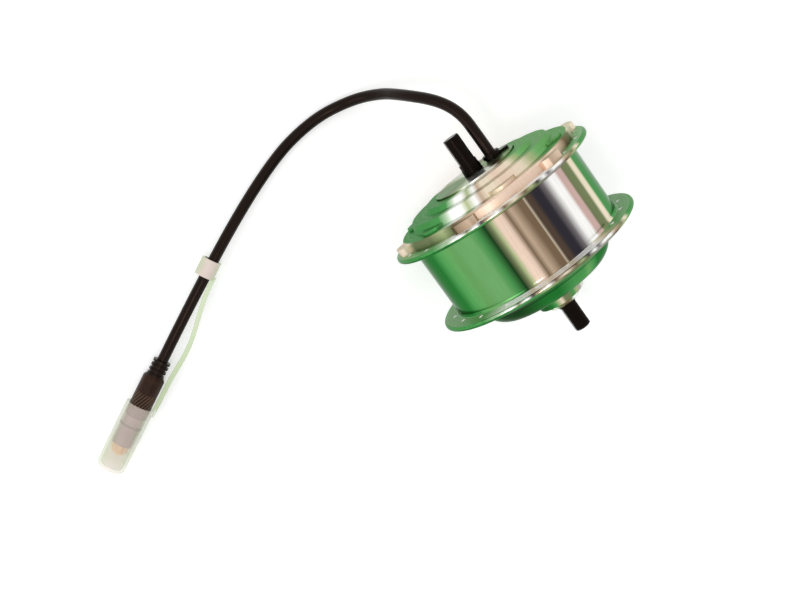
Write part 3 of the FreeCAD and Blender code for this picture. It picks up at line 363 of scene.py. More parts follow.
@dataclass(frozen=True)
class TurnedAluminium:
    """Lathe-turned aluminium with reflections painted into its base colour, changing with the
    angle round the axle.

    Attributes:
        name: Name of the material.
        painted_reflections: Painted reflections from -90 to 90 degrees. The lower half mirrors
            them.
        roughness: Roughness of the polish.
        grain: Share of fine streaks along the axle.
        metallic: How metallic it is.
        painted_edge_reflection: Greenish tint of what it mirrors where it is seen along its
            surface, which paints in a green reflection there.
        streak_scale: Scale of the fine streaks.
        streak_shades: Darkest and palest share that a streak leaves of the tone.
        groove_scale: Scale of the lathe's grooves.
        groove_gloss: Lowest and highest share of the roughness across the grooves.
        groove_strength: How much of the grooves' relief shows.
        groove_depth: Depth of the grooves.
    """

    name: str
    painted_reflections: tuple[Streak, ...]
    roughness: float = 0.22
    grain: float = 0.35
    metallic: float = 1.0
    painted_edge_reflection: ClassVar[Colour] = (0.55, 0.62, 0.55)
    streak_scale: ClassVar[float] = 60.0
    streak_shades: ClassVar[Range] = (0.72, 1.16)
    groove_scale: ClassVar[float] = 2600.0
    groove_gloss: ClassVar[Range] = (0.8, 1.25)
    groove_strength: ClassVar[float] = 0.06
    groove_depth: ClassVar[float] = 0.02 * MM

    def build(self) -> bpy.types.Material:
        """Make the material.

        Returns:
            The finished material.
        """
        bench = NodeBench(self.name)
        x, y, z = bench.split(bench.place())
        angle = bench.calculate("ARCTAN2", x, bench.calculate("ABSOLUTE", z))
        streak = bench.noise(bench.gather(angle, y), self.streak_scale, FINE_DETAIL)
        streak_shade = bench.spread(streak, NOISE_MIDDLE, self.streak_shades)
        # The painted reflections by angle, with fine random streaks multiplied in.
        tint = bench.blend(self.grain, self.painted_reflection_at(bench, angle), streak_shade, "MULTIPLY")
        groove = bench.noise(bench.gather(bench.distance(x, z), y), self.groove_scale)
        gloss = tuple(self.roughness * share for share in self.groove_gloss)
        bench.set(Base_Color=tint, Metallic=self.metallic, Specular_Tint=self.painted_edge_reflection,
                  Roughness=bench.spread(groove, NOISE_BULK, gloss))
        bench.bump(groove, self.groove_strength, self.groove_depth)
        return bench.material

    def painted_reflection_at(self, bench: NodeBench, angle: Socket) -> Socket:
        """Look the painted reflection up by the angle round the axle.

        Args:
            bench: The material's bench.
            angle: Angle from the top or from the bottom, in radians.

        Returns:
            The socket with the painted reflection's colour.
        """
        quarter = math.pi / 2.0
        stops = [((streak.angle + 90.0) / 180.0, streak.tone.value) for streak in self.painted_reflections]
        return bench.ramp(bench.spread(angle, (-quarter, quarter)), stops)


@dataclass(frozen=True)
class Moulded:
    """Moulded or coated surface with a fine grain.

    Attributes:
        name: Name of the material, which is its slot in the record.
        colour: Its colour.
        roughness: Its roughness.
        metallic: How metallic it is.
        grain: Size of the grain.
        relief: Depth of the grain.
        shine: Strength of its reflections, where 0.5 is usual for plastics.
        gloss_tint: Colour of its reflections.
        cloud_scale: Scale of the broad clouds in colour and polish.
        cloud_shades: Darkest and palest share of the colour in the clouds.
        cloud_gloss: Lowest and highest share of the roughness in the clouds.
        relief_strength: How much of the grain's relief shows.
    """

    name: str
    colour: Colour
    roughness: float
    metallic: float = 0.0
    grain: float = 0.6 * MM
    relief: float = 0.02 * MM
    shine: float = 0.5
    gloss_tint: Colour = WHITE
    cloud_scale: ClassVar[float] = 60.0
    cloud_shades: ClassVar[Range] = (0.72, 1.22)
    cloud_gloss: ClassVar[Range] = (0.85, 1.15)
    relief_strength: ClassVar[float] = 0.5

    def build(self) -> bpy.types.Material:
        """Make the material.

        Returns:
            The finished material.
        """
        bench = NodeBench(self.name)
        spot = bench.place()
        cloud = bench.noise(spot, self.cloud_scale)
        colours = [tuple(min(1.0, part * share) for part in self.colour)
                   for share in self.cloud_shades]
        tint = bench.ramp(cloud, list(zip(NOISE_BULK, colours)))
        gloss = tuple(min(1.0, self.roughness * share) for share in self.cloud_gloss)
        bench.set(Base_Color=tint, Roughness=bench.spread(cloud, NOISE_BULK, gloss),
                  Metallic=self.metallic, Specular_IOR_Level=self.shine,
                  Specular_Tint=self.gloss_tint)
        fine = bench.noise(spot, 1.0 / self.grain, FINE_DETAIL)
        bench.bump(fine, self.relief_strength, self.relief)
        return bench.material


@dataclass(frozen=True)
class ConnectorLine:
    """The line that the connector lies on.

    Attributes:
        start: Point on its axis at the tether ring's upper edge.
        heading: Direction from the cable to the cap, in radians from +X.
    """

    start: Vector = Vector((165.66, -94.93, -60.2)) * MM
    heading: float = math.radians(27.08)

    @property
    def along(self) -> Vector:
        """Direction from the cable to the cap."""
        return Vector((math.cos(self.heading), math.sin(self.heading), 0.0))

    def places(self, bench: NodeBench) -> tuple[Socket, Socket, Socket]:
        """Read a point's place on the line.

        Args:
            bench: Bench of the material that asks.

        Returns:
            The sockets with its place along the line, across it and above it.
        """
        return bench.split(bench.place_from(self.start, self.heading))


@dataclass(frozen=True)
class MilkyPlastic:
    """Soft milky plastic of the cap, whose walls let a part of the light through.

    Attributes:
        line: Where the connector lies.
        name: Name of the material.
        milky_lit_top: Its milky colour with a painted highlight, on top.
        painted_green_underside: Painted green reflection towards the underside.
        green_reflection_lean: Where the painted reflection takes over, in radians from the
            top, with the clouds added.
        roughness: Its roughness.
        mouth: Start of the cap's cup along the line, after its strap and ring.
        mouth_fade: Length over which the wall thins there.
        opacity: How much light strap and ring stop, and how much the cup does.
        cloud_scale: Scale of the clouds.
        cloud_strength: How much of the clouds' relief shows.
        cloud_depth: Depth of the clouds' relief.
    """

    line: ConnectorLine
    name: str = "cap_milky_plastic"
    milky_lit_top: Colour = shade(240, 224, 214)
    painted_green_underside: Colour = shade(204, 220, 178)
    green_reflection_lean: Range = (0.9, 1.9)
    roughness: float = 0.22
    mouth: float = 105.0 * MM
    mouth_fade: float = 2.0 * MM
    opacity: Range = (0.8, 0.3)
    cloud_scale: float = 70.0
    cloud_strength: float = 0.2
    cloud_depth: float = 0.1 * MM

    def build(self) -> bpy.types.Material:
        """Make the material.

        Returns:
            The finished material.
        """
        bench = NodeBench(self.name)
        along, across, above = self.line.places(bench)
        lean = bench.calculate("ABSOLUTE", bench.calculate("ARCTAN2", across, above))
        cloud = bench.noise(bench.place(), self.cloud_scale)
        # Painted highlight on top, painted green reflection towards the underside.
        turning = bench.spread(bench.calculate("ADD", lean, cloud), self.green_reflection_lean)
        tint = bench.ramp(turning, [(0.0, self.milky_lit_top), (1.0, self.painted_green_underside)])
        veil = bench.spread(along, (self.mouth, self.mouth + self.mouth_fade), self.opacity)
        bench.set(Base_Color=tint, Roughness=self.roughness, Alpha=veil)
        bench.bump(cloud, self.cloud_strength, self.cloud_depth)
        return bench.material


@dataclass(frozen=True)
class KnurledPlastic:
    """Dark plastic of the connector, with slanting ridges beside the cap's mouth.

    Attributes:
        line: Where the connector lies.
        name: Name of the material.
        colour: Its colour.
        worn_colour: Darker colour in its clouds.
        ridge_colour: Colour that shows on the ridges.
        roughness: Its roughness.
        shine: Strength of its reflections.
        worn_scale: Scale of the clouds.
        worn_range: Values of the clouds between which the colours change.
        knurl_start: Where the ridges start along the line.
        knurl_fade: Length over which they rise there.
        ridge_count: Ridges round the connector.
        ridge_slant: How fast they wind, in radians a metre along the line.
        ridge_flank: Heights between which the ridge's colour comes in.
        ridge_share: Least and most of that colour.
        ridge_strength: How much of the ridges' relief shows.
        ridge_depth: Depth of the ridges.
    """

    line: ConnectorLine
    name: str = "connector_knurled_plastic"
    colour: Colour = shade(44, 25, 18)
    worn_colour: Colour = shade(22, 13, 10)
    ridge_colour: Colour = shade(104, 82, 62)
    roughness: float = 0.38
    shine: float = 0.22
    worn_scale: float = 140.0
    worn_range: Range = (0.35, 0.7)
    knurl_start: float = 97.5 * MM
    knurl_fade: float = 1.0 * MM
    ridge_count: int = 22
    ridge_slant: float = 1450.0
    ridge_flank: Range = (0.1, 0.8)
    ridge_share: Range = (0.0, 0.6)
    ridge_strength: float = 0.9
    ridge_depth: float = 0.2 * MM

    def build(self) -> bpy.types.Material:
        """Make the material.

        Returns:
            The finished material.
        """
        bench = NodeBench(self.name)
        worn = bench.noise(bench.place(), self.worn_scale, FINE_DETAIL)
        colours = (self.worn_colour, self.colour)
        tint = bench.ramp(worn, list(zip(self.worn_range, colours)))
        knurl = self.knurl(bench)
        raised = bench.spread(knurl, self.ridge_flank, self.ridge_share)
        bench.set(Base_Color=bench.blend(raised, tint, self.ridge_colour),
                  Roughness=self.roughness, Specular_IOR_Level=self.shine,
                  Specular_Tint=WARM_GLOSS)
        bench.bump(knurl, self.ridge_strength, self.ridge_depth)
        return bench.material

    def knurl(self, bench: NodeBench) -> Socket:
        """Wind the ridges round the connector.

        Args:
            bench: The material's bench.

        Returns:
            The socket with their height, from -1 to 1, and 0 before they start.
        """
        along, across, above = self.line.places(bench)
        turn = bench.calculate("ARCTAN2", across, above)
        around = bench.calculate("MULTIPLY", turn, float(self.ridge_count))
        slant = bench.calculate("MULTIPLY", along, self.ridge_slant)
        ridges = bench.calculate("SINE", bench.calculate("ADD", around, slant))
        rise = bench.spread(along, (self.knurl_start, self.knurl_start + self.knurl_fade))
        return bench.calculate("MULTIPLY", ridges, rise)


# Painted reflections of each turned surface, in degrees round the axle: the green surroundings
# and the room as the polished aluminium would mirror them, painted into its base colour.
DRUM_TONES = streaks(
    (-90, PaintedReflection.GREEN), (-55, PaintedReflection.GREEN), (-53, PaintedReflection.CREAM), (-49, PaintedReflection.CREAM),
    (-46.5, PaintedReflection.MOSS), (-40, PaintedReflection.MOSS), (-38.5, PaintedReflection.ROSE), (-34.5, PaintedReflection.ROSE),
    (-32, PaintedReflection.SNOW), (-27.5, PaintedReflection.SNOW), (-22, PaintedReflection.SLATE), (-18, PaintedReflection.INK),
    (-13.5, PaintedReflection.INK), (-11, PaintedReflection.BARK), (-7.9, PaintedReflection.BARK), (-7.3, PaintedReflection.CREAM),
    (-6.7, PaintedReflection.UMBER), (-3, PaintedReflection.UMBER), (2.6, PaintedReflection.SAND), (5.6, PaintedReflection.UMBER),
    (8.8, PaintedReflection.PEACH), (13, PaintedReflection.PEACH), (15.4, PaintedReflection.OLIVE), (17.4, PaintedReflection.MOSS),
    (20.4, PaintedReflection.BLACK_GREEN), (26, PaintedReflection.GREEN), (31, PaintedReflection.LIME), (39, PaintedReflection.LIME),
    (46, PaintedReflection.LEAF), (58, PaintedReflection.GREEN), (65, PaintedReflection.DEEP_GREEN), (90, PaintedReflection.DEEP_GREEN))
RIM_TONES = streaks(
    (-90, PaintedReflection.LEAF), (-52, PaintedReflection.GREEN), (-47, PaintedReflection.CREAM), (-42, PaintedReflection.MOSS),
    (-35, PaintedReflection.SAND), (-31, PaintedReflection.SNOW), (-26, PaintedReflection.SNOW), (-22, PaintedReflection.SLATE),
    (-19, PaintedReflection.SNOW), (-15, PaintedReflection.INK), (-11, PaintedReflection.OLIVE), (-7, PaintedReflection.UMBER),
    (-1, PaintedReflection.CREAM), (5, PaintedReflection.UMBER), (9, PaintedReflection.SNOW), (14, PaintedReflection.SAND),
    (18, PaintedReflection.INK), (21, PaintedReflection.SNOW), (26, PaintedReflection.MOSS), (31, PaintedReflection.SNOW),
    (38, PaintedReflection.PALE_GREEN), (48, PaintedReflection.GREEN), (90, PaintedReflection.GREEN))
RIM_BACK_TONES = streaks(
    (-90, PaintedReflection.GREEN), (-50, PaintedReflection.LEAF), (-44, PaintedReflection.OLIVE), (-36, PaintedReflection.UMBER),
    (-30, PaintedReflection.ASH), (-22, PaintedReflection.ASH), (-14, PaintedReflection.MOSS), (0, PaintedReflection.MOSS),
    (10, PaintedReflection.OLIVE), (16, PaintedReflection.GREEN), (28, PaintedReflection.GREEN), (38, PaintedReflection.DEEP_GREEN),
    (90, PaintedReflection.DEEP_GREEN))
FLANGE_TONES = streaks(
    (-90, PaintedReflection.LEAF), (-50, PaintedReflection.LEAF), (-42, PaintedReflection.LIME), (-36, PaintedReflection.OLIVE),
    (-29, PaintedReflection.CREAM), (-22, PaintedReflection.SNOW), (-14, PaintedReflection.SNOW), (-7, PaintedReflection.CREAM),
    (0, PaintedReflection.SNOW), (6, PaintedReflection.CREAM), (12, PaintedReflection.SNOW), (17, PaintedReflection.CREAM),
    (22, PaintedReflection.SNOW), (34, PaintedReflection.SNOW), (44, PaintedReflection.PALE_GREEN), (50, PaintedReflection.LEAF),
    (60, PaintedReflection.LEAF), (90, PaintedReflection.LEAF))
COVER_WALL_TONES = streaks(
    (-90, PaintedReflection.CREAM), (-72, PaintedReflection.CREAM), (-64, PaintedReflection.MOSS), (-54, PaintedReflection.UMBER),
    (-47, PaintedReflection.SAND), (-38, PaintedReflection.PEACH), (-30, PaintedReflection.SAND), (-26, PaintedReflection.PEACH),
    (12, PaintedReflection.PEACH), (24, PaintedReflection.SAND), (33, PaintedReflection.UMBER), (36, PaintedReflection.MOSS),
    (42, PaintedReflection.OLIVE), (52, PaintedReflection.MOSS), (70, PaintedReflection.MOSS), (78, PaintedReflection.CREAM),
    (90, PaintedReflection.PEACH))
COVER_FACE_TONES = streaks(
    (-90, PaintedReflection.LEAF), (-48, PaintedReflection.LEAF), (-40, PaintedReflection.LIME), (-31, PaintedReflection.OLIVE),
    (-22, PaintedReflection.CREAM), (-6, PaintedReflection.PEACH), (2, PaintedReflection.CREAM), (8, PaintedReflection.CREAM),
    (12.5, PaintedReflection.SAND), (17, PaintedReflection.SNOW), (23, PaintedReflection.OLIVE), (29, PaintedReflection.SNOW),
    (36, PaintedReflection.SNOW), (42, PaintedReflection.PALE_GREEN), (48, PaintedReflection.GREEN), (90, PaintedReflection.GREEN))
DOME_TONES = streaks(
    (-90, PaintedReflection.GREEN), (-52, PaintedReflection.DEEP_GREEN), (-36, PaintedReflection.DEEP_GREEN), (-30, PaintedReflection.GREEN),
    (-24, PaintedReflection.LEAF), (-18, PaintedReflection.GREEN), (-8, PaintedReflection.GREEN), (6, PaintedReflection.DEEP_GREEN),
    (18, PaintedReflection.DEEP_GREEN), (30, PaintedReflection.FOREST), (42, PaintedReflection.BLACK_GREEN), (62, PaintedReflection.BLACK_GREEN),
    (72, PaintedReflection.FOREST), (90, PaintedReflection.GREEN))
NOSE_TONES = streaks(
    (-90, PaintedReflection.ASH), (-60, PaintedReflection.SNOW), (-42, PaintedReflection.ASH), (-30, PaintedReflection.OLIVE),
    (-20, PaintedReflection.GREEN), (-4, PaintedReflection.MOSS), (4, PaintedReflection.MOSS), (12, PaintedReflection.CREAM),
    (20, PaintedReflection.OLIVE), (28, PaintedReflection.GREEN), (40, PaintedReflection.DEEP_GREEN), (52, PaintedReflection.FOREST),
    (90, PaintedReflection.FOREST))
# The spoke holes' walls are painted white all round, a painted glint.
HOLE_TONES = streaks((-90, PaintedReflection.SNOW), (90, PaintedReflection.SNOW))
RING_TONES = streaks(
    (-90, PaintedReflection.ASH), (-66, PaintedReflection.ASH), (-46, PaintedReflection.SNOW), (-26, PaintedReflection.SNOW),
    (-14, PaintedReflection.MOSS), (0, PaintedReflection.UMBER), (34, PaintedReflection.MOSS), (42, PaintedReflection.PALE_GREEN),
    (54, PaintedReflection.SNOW), (66, PaintedReflection.OLIVE), (90, PaintedReflection.GREEN))
BARE_TONES = streaks(
    (-90, PaintedReflection.LEAF), (-40, PaintedReflection.OLIVE), (-25, PaintedReflection.UMBER), (-15, PaintedReflection.SNOW),
    (20, PaintedReflection.SNOW), (40, PaintedReflection.OLIVE), (60, PaintedReflection.MOSS), (90, PaintedReflection.LEAF))

CONNECTOR_LINE = ConnectorLine()

# Finishes by the record's material slots, whose names they have.
SLOT_FINISHES = (
    Moulded("black_steel", shade(5, 4, 4), roughness=0.22, grain=0.4 * MM, shine=0.09,
            gloss_tint=WARM_GLOSS),
    Moulded("bright_steel", shade(190, 192, 196), roughness=0.28, metallic=1.0,
            grain=0.4 * MM),
    Moulded("black_rubber", shade(7, 5, 4), roughness=0.24, grain=0.8 * MM,
            relief=0.008 * MM, shine=0.19, gloss_tint=WARM_GLOSS),
    Moulded("black_plastic", shade(9, 6, 5), roughness=0.26, shine=0.13,
            gloss_tint=WARM_GLOSS),
    Moulded("insert_plastic", shade(124, 106, 100), roughness=0.4),
    Moulded("contact_brass", shade(255, 192, 84), roughness=0.3),
    Moulded("copper_wire", shade(196, 112, 70), roughness=0.32, metallic=0.9,
            grain=0.5 * MM),
    Moulded("core_steel", shade(132, 132, 138), roughness=0.4, metallic=0.9,
            grain=0.5 * MM),
    Moulded("magnet_plating", shade(196, 194, 190), roughness=0.25, metallic=1.0),
    Moulded("board_green", shade(36, 96, 48), roughness=0.4),
    Moulded("gear_nylon", shade(226, 220, 200), roughness=0.45),
    Moulded("bush_bronze", shade(176, 132, 80), roughness=0.35, metallic=0.9),
    # Bare aluminium takes painted reflections round its axle too.
    TurnedAluminium("bare_aluminium", BARE_TONES, roughness=0.25),
)
# Finishes of CAD nodes that take one of their own instead.
NODE_FINISHES = {
    "connector_cap": MilkyPlastic(CONNECTOR_LINE),
    "connector_body": KnurledPlastic(CONNECTOR_LINE),
    # The seal ring's colours are painted reflections round the axle.
    "axle_seal_ring": TurnedAluminium("ring_aluminium", RING_TONES, roughness=0.2),
}


class ShellZone(IntEnum):
    """Zones of the shell's surface, numbered as the mesh's materials are.

    RIM is the half of each flange's rim that looks to the cable side, and RIM_BACK the other.
    """

    DRUM = 0
    FLANGE = 1
    DOME = 2
    RIM = 3
    NOSE = 4
    RIM_BACK = 5
    HOLE = 6


class CoverZone(IntEnum):
    """Zones of the side cover's surface, numbered as the mesh's materials are."""

    WALL = 0
    FACE = 1


# Each zone of the shell and of the cover gets its own painted reflections.
SHELL_FINISHES = {
    ShellZone.DRUM: TurnedAluminium("drum_aluminium", DRUM_TONES, roughness=0.16, grain=0.2),
    ShellZone.FLANGE: TurnedAluminium(
        "flange_aluminium", FLANGE_TONES, roughness=0.45, grain=0.2, metallic=0.15),
    ShellZone.DOME: TurnedAluminium("dome_aluminium", DOME_TONES, roughness=0.3, grain=0.15),
    ShellZone.RIM: TurnedAluminium("rim_aluminium", RIM_TONES, roughness=0.2, grain=0.3),
    ShellZone.NOSE: TurnedAluminium("nose_aluminium", NOSE_TONES, roughness=0.28, grain=0.1),
    ShellZone.RIM_BACK: TurnedAluminium(
        "rim_back_aluminium", RIM_BACK_TONES, roughness=0.3, grain=0.2),
    ShellZone.HOLE: TurnedAluminium(
        "hole_aluminium", HOLE_TONES, roughness=0.4, grain=0.0, metallic=0.0),
}
COVER_FINISHES = {
    CoverZone.WALL: TurnedAluminium(
        "cover_wall_aluminium", COVER_WALL_TONES, roughness=0.38, grain=0.2),
    CoverZone.FACE: TurnedAluminium(
        "cover_face_aluminium", COVER_FACE_TONES, roughness=0.4, grain=0.15),
}


@dataclass
class PolishedPiece(ABC):
    """A CAD node's own mesh, merged and shaded smooth, that stands for the node.

    Attributes:
        node: Name of the CAD node.
        body: Name of the body that it rides on.
        finishes: Its finishes by zone, in the order of the zones' numbers.
        crease: Angle in degrees above which an edge stays sharp.
        merge_gap: Gap across which corners are merged.
    """

    node: str
    body: str
    finishes: dict[IntEnum, TurnedAluminium]
    crease: float = 28.0
    merge_gap: float = 0.001 * MM

    def build(self, nodes: Nodes) -> bpy.types.Object:
        """Copy the node, merge it, shade it and give each face its finish.

        Args:
            nodes: The CAD nodes.

        Returns:
            The finished piece.
        """
        bm = bmesh.new()
        bm.from_mesh(nodes[self.node].data)
        bmesh.ops.remove_doubles(bm, verts=bm.verts[:], dist=self.merge_gap)
        limit = math.radians(self.crease)
        for edge in bm.edges:
            edge.smooth = edge.calc_face_angle(0.0) < limit
        for face in bm.faces:
            face.smooth = True
            face.material_index = self.zone_of(face)
        mesh = bpy.data.meshes.new(self.node + "_polished")
        bm.to_mesh(mesh)
        bm.free()
        for finish in self.finishes.values():
            mesh.materials.append(finish.build())
        piece = bpy.data.objects.new(self.node + "_polished", mesh)
        bpy.context.scene.collection.objects.link(piece)
        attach(piece, self.body)
        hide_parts(self.node)
        LOG.info("%s in %d finishes", piece.name, len(self.finishes))
        return piece

    @abstractmethod
    def zone_of(self, face: bmesh.types.BMFace) -> IntEnum:
        """Choose the zone of a face."""


@dataclass
class Shell(PolishedPiece):
    """Hub shell: drum, flanges with their spoke holes, dome and nose.

    Attributes:
        drum_radius: Radius of the drum.
        drum_fillet: Width of the fillet from the drum to a flange.
        rim_radius: Radius beyond which a face belongs to a flange's rim.
        nose_radius: Radius of the nose.
        hole_radius: Radius beyond which a face that looks sideways is a spoke hole's wall.
        hole_lean: How far such a wall's normal may lean along the axle.
        near_middle: Middle of the near flange along Y.
        far_middle: Middle of the far flange along Y.
        dome_start: Outer side of the far flange along Y, where the dome starts.
        slack: How far before that a face may lie and still be the dome's.
    """

    drum_radius: float = 58.4 * MM
    drum_fillet: float = 0.9 * MM
    rim_radius: float = 68.4 * MM
    nose_radius: float = 21.3 * MM
    hole_radius: float = 60.5 * MM
    hole_lean: float = 0.2
    near_middle: float = -30.2 * MM
    far_middle: float = 21.5 * MM
    dome_start: float = 23.1 * MM
    slack: float = 0.05 * MM

    def zone_of(self, face: bmesh.types.BMFace) -> ShellZone:
        """Choose the zone of a face by its place.

        Args:
            face: The face.

        Returns:
            Its zone.
        """
        spot = face.calc_center_median()
        radius = math.hypot(spot.x, spot.z)
        if radius > self.rim_radius:
            middle = self.near_middle if spot.y < 0.0 else self.far_middle
            return ShellZone.RIM if spot.y < middle else ShellZone.RIM_BACK
        if radius > self.hole_radius and abs(face.normal.y) < self.hole_lean:
            return ShellZone.HOLE
        if spot.y > self.dome_start - self.slack:
            return ShellZone.NOSE if radius < self.nose_radius else ShellZone.DOME
        fillet_top = self.drum_radius + self.drum_fillet
        return ShellZone.DRUM if radius < fillet_top else ShellZone.FLANGE


@dataclass
class Cover(PolishedPiece):
    """Side cover: the outer band's wall with its lugs, and the stepped face inside it.

    Attributes:
        band_radius: Radius beyond which a face belongs to the wall.
    """

    band_radius: float = 60.6 * MM

    def zone_of(self, face: bmesh.types.BMFace) -> CoverZone:
        """Choose the zone of a face by its distance from the axle.

        Args:
            face: The face.

        Returns:
            Its zone.
        """
        spot = face.calc_center_median()
        in_band = math.hypot(spot.x, spot.z) > self.band_radius
        return CoverZone.WALL if in_band else CoverZone.FACE


@dataclass
class Cable:
    """The motor cable, one tube on a smooth curve through the air and along the floor.

    Attributes:
        line: Where the connector lies.
        radius: Radius of the cable.
        length: Its real length; not used.
        hidden_end: How far it runs on from the line's start, through the tether ring and
            into the connector.
        steps: Steps of the curve between two points of the route.
        ring_steps: Steps of a quarter of its round section.
        carried: The CAD nodes that sit on it; not used.
    """

    line: ConnectorLine
    radius: float = 3.7 * MM
    length: float = 332.9 * MM
    hidden_end: float = 74.2 * MM
    steps: int = 24
    ring_steps: int = 8
    carried: tuple[str, ...] = (
        "strain_relief", "connector_body", "connector_insert", "connector_seal",
        "power_pins", "signal_pins", "connector_cap")

    @property
    def route(self) -> list[Vector]:
        """Points from the gland through the air, over the floor and into the connector.

        Returns:
            The points, the last two of them on the connector's line.
        """
        # These are in millimetres. Lying is the height of the cable's axis on the floor.
        lying = -66.25
        points = [(-14.6, -51.2, 0), (-14.6, -64, 0), (-14.9, -80.4, -5),
                  (-8.8, -94.6, -12.3), (4.9, -109.1, -29.1), (14.4, -117.6, -50),
                  (32, -124.9, -62), (59.4, -129, lying), (96.6, -123.3, lying)]
        return [*(Vector(point) * MM for point in points), self.line.start,
                self.line.start + self.line.along * self.hidden_end]

    def build(self, material: bpy.types.Material, nodes: Nodes) -> bpy.types.Object:
        """Args:
            material: Its rubber.
            nodes: The CAD nodes; not used.

        Returns:
            The cable.
        """
        cable = bpy.data.objects.new("cable", self.draw(material))
        bpy.context.scene.collection.objects.link(cable)
        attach(cable, "axle_assembly")
        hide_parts("motor_cable")
        LOG.info("%s laid through %d points", cable.name, len(self.route))
        return cable

    def draw(self, material: bpy.types.Material) -> bpy.types.Curve:
        """Draw the curve that gives the tube.

        Args:
            material: Its rubber.

        Returns:
            The curve.
        """
        curve = bpy.data.curves.new("cable_line", "CURVE")
        curve.dimensions = "3D"
        spline = curve.splines.new("NURBS")
        spline.points.add(len(self.route) - 1)
        for point, spot in zip(spline.points, self.route):
            point.co = (*spot, 1.0)
        spline.order_u = 3
        spline.use_endpoint_u = True
        spline.resolution_u = self.steps
        curve.bevel_depth = self.radius
        curve.bevel_resolution = self.ring_steps
        curve.use_fill_caps = True
        curve.materials.append(material)
        return curve


def seen_directly(tree: bpy.types.NodeTree) -> Socket:
    """Tell whether the eye sees something itself, in a gloss or through glass.

    Args:
        tree: The node tree that asks.

    Returns:
        The socket that is one where it does.
    """
    path = tree.nodes.new("ShaderNodeLightPath")
    total = path.outputs["Is Camera Ray"]
    for name in ("Is Glossy Ray", "Is Transmission Ray"):
        node = tree.nodes.new("ShaderNodeMath")
        node.operation = "MAXIMUM"
        tree.links.new(total, node.inputs[0])
        tree.links.new(path.outputs[name], node.inputs[1])
        total = node.outputs[0]
    return total


@dataclass(frozen=True)
class Lamp:
    """A soft square lamp that looks at the middle of the part.

    Attributes:
        name: Its name.
        spot: Where it hangs.
        size: Width of its face.
        power: Its power in watts.
    """

    name: str
    spot: Vector
    size: float
    power: float

    def hang(self) -> None:
        """Hang the lamp."""
        light = bpy.data.lights.new(self.name, "AREA")
        light.size = self.size
        light.energy = self.power
        holder = bpy.data.objects.new(self.name, light)
        holder.location = self.spot
        holder.rotation_euler = (-self.spot).to_track_quat("-Z", "Y").to_euler()
        bpy.context.scene.collection.objects.link(holder)


@dataclass(frozen=True)
class Camera:
    """The camera, at the photograph's place.

    Attributes:
        spot: Where it stands.
        right: Direction of the picture's right side.
        up: Direction of the picture's top, made square to the right side.
        lens: Focal length in millimetres.
        sensor: Width of the sensor in millimetres.
        nearest: Nearest distance that it sees.
    """

    spot: Vector = Vector((91.46, -154.85, 755.41)) * MM
    right: Vector = Vector((-0.8032, 0.5835, 0.1202))
    up: Vector = Vector((-0.5956, -0.7902, -0.1444))
    lens: float = 55.99
    sensor: float = 36.0
    nearest: float = 10.0 * MM

    def set_up(self) -> None:
        """Stand the camera in its place."""
        camera = bpy.data.cameras.new("camera")
        camera.lens = self.lens
        camera.sensor_width = self.sensor
        camera.clip_start = self.nearest
        holder = bpy.data.objects.new("camera", camera)
        right = self.right.normalized()
        up = (self.up - right * self.up.dot(right)).normalized()
        turn = Matrix((right, up, right.cross(up))).transposed()
        holder.matrix_world = Matrix.Translation(self.spot) @ turn.to_4x4()
        bpy.context.scene.collection.objects.link(holder)
        bpy.context.scene.camera = holder


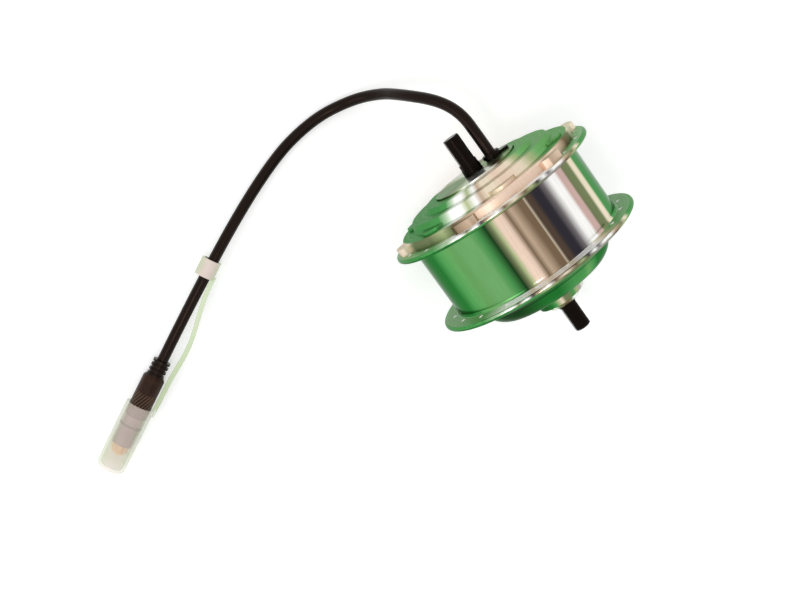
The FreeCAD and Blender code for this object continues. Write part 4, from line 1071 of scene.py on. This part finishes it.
@dataclass(frozen=True)
class Studio:
    """Pale floor, soft light and the camera.

    Attributes:
        floor_height: Height of the floor, which the flanges stand on.
        floor_reach: How far the floor reaches from the middle.
        floor_white: Its colour.
        floor_roughness: Its roughness.
        floor_shine: Strength of its reflections.
        floor_glow: Its own light, where the eye sees it directly.
        sky: Strength of the world's light on the part, and where the eye sees it directly.
        lamps: The lamps.
        camera: The camera.
    """

    floor_height: float = -70.0 * MM
    floor_reach: float = 4.0
    floor_white: Colour = (0.93, 0.93, 0.93)
    floor_roughness: float = 0.9
    floor_shine: float = 0.1
    floor_glow: float = 0.3
    sky: Range = (0.85, 1.0)
    lamps: tuple[Lamp, ...] = (
        Lamp("key_light", Vector((0.34, -0.03, 1.02)), size=0.12, power=1.0),
        Lamp("fill_light", Vector((0.9, -0.3, 0.7)), size=0.6, power=1.5))
    camera: Camera = field(default_factory=Camera)

    def build(self) -> None:
        """Make the floor, the world, the lamps and the camera."""
        self.lay_floor()
        self.light_world()
        for lamp in self.lamps:
            lamp.hang()
        self.camera.set_up()
        LOG.info("studio with %d lamps", len(self.lamps))

    def lay_floor(self) -> None:
        """Lay the floor."""
        bm = bmesh.new()
        bmesh.ops.create_grid(bm, x_segments=1, y_segments=1, size=self.floor_reach)
        bmesh.ops.translate(bm, verts=bm.verts[:], vec=(0.0, 0.0, self.floor_height))
        mesh = bpy.data.meshes.new("floor")
        bm.to_mesh(mesh)
        bm.free()
        mesh.materials.append(self.floor_material())
        floor = bpy.data.objects.new("floor", mesh)
        bpy.context.scene.collection.objects.link(floor)

    def floor_material(self) -> bpy.types.Material:
        """Make the floor's matt white, which glows a little where it is seen.

        Returns:
            The finished material.
        """
        bench = NodeBench("floor_white")
        glow = bench.calculate("MULTIPLY", seen_directly(bench.tree), self.floor_glow)
        bench.set(Base_Color=self.floor_white, Roughness=self.floor_roughness,
                  Specular_IOR_Level=self.floor_shine, Emission_Color=WHITE,
                  Emission_Strength=glow)
        return bench.material

    def light_world(self) -> None:
        """Give the world an even pale light, and white where it is seen."""
        world = bpy.data.worlds.new("studio")
        bpy.context.scene.world = world
        world.use_nodes = True
        tree = world.node_tree
        back = tree.nodes["Background"]
        back.inputs["Color"].default_value = (*WHITE, 1.0)
        strength = tree.nodes.new("ShaderNodeMapRange")
        for name, number in zip(("To Min", "To Max"), self.sky):
            strength.inputs[name].default_value = number
        tree.links.new(seen_directly(tree), strength.inputs["Value"])
        tree.links.new(strength.outputs["Result"], back.inputs["Strength"])


def dress(node: bpy.types.Object, material: bpy.types.Material) -> None:
    """Give a CAD node one material.

    Args:
        node: The node's object.
        material: Its finish.
    """
    node.data.materials.clear()
    node.data.materials.append(material)
    LOG.info("%s in %s", node.name, material.name)


def main() -> None:
    """Build the studio, dress the CAD nodes, and make the cable, the shell and the cover."""
    logging.basicConfig(level=logging.INFO, format="%(name)s: %(message)s")
    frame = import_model()
    bpy.context.scene.view_settings.view_transform = "Standard"
    nodes = frame["nodes"]
    Studio().build()

    materials = {finish.name: finish.build() for finish in SLOT_FINISHES}
    for entry in frame["record"]["subparts"]:
        node, slot = entry["node"], entry["material_slot"]
        if node in NODE_FINISHES:
            dress(nodes[node], NODE_FINISHES[node].build())
        elif slot in materials:
            dress(nodes[node], materials[slot])

    Cable(CONNECTOR_LINE).build(materials["black_rubber"], nodes)
    Shell("hub_shell", "hub", SHELL_FINISHES).build(nodes)
    Cover("side_cover", "hub", COVER_FINISHES).build(nodes)


if __name__ == "__main__":
    main()
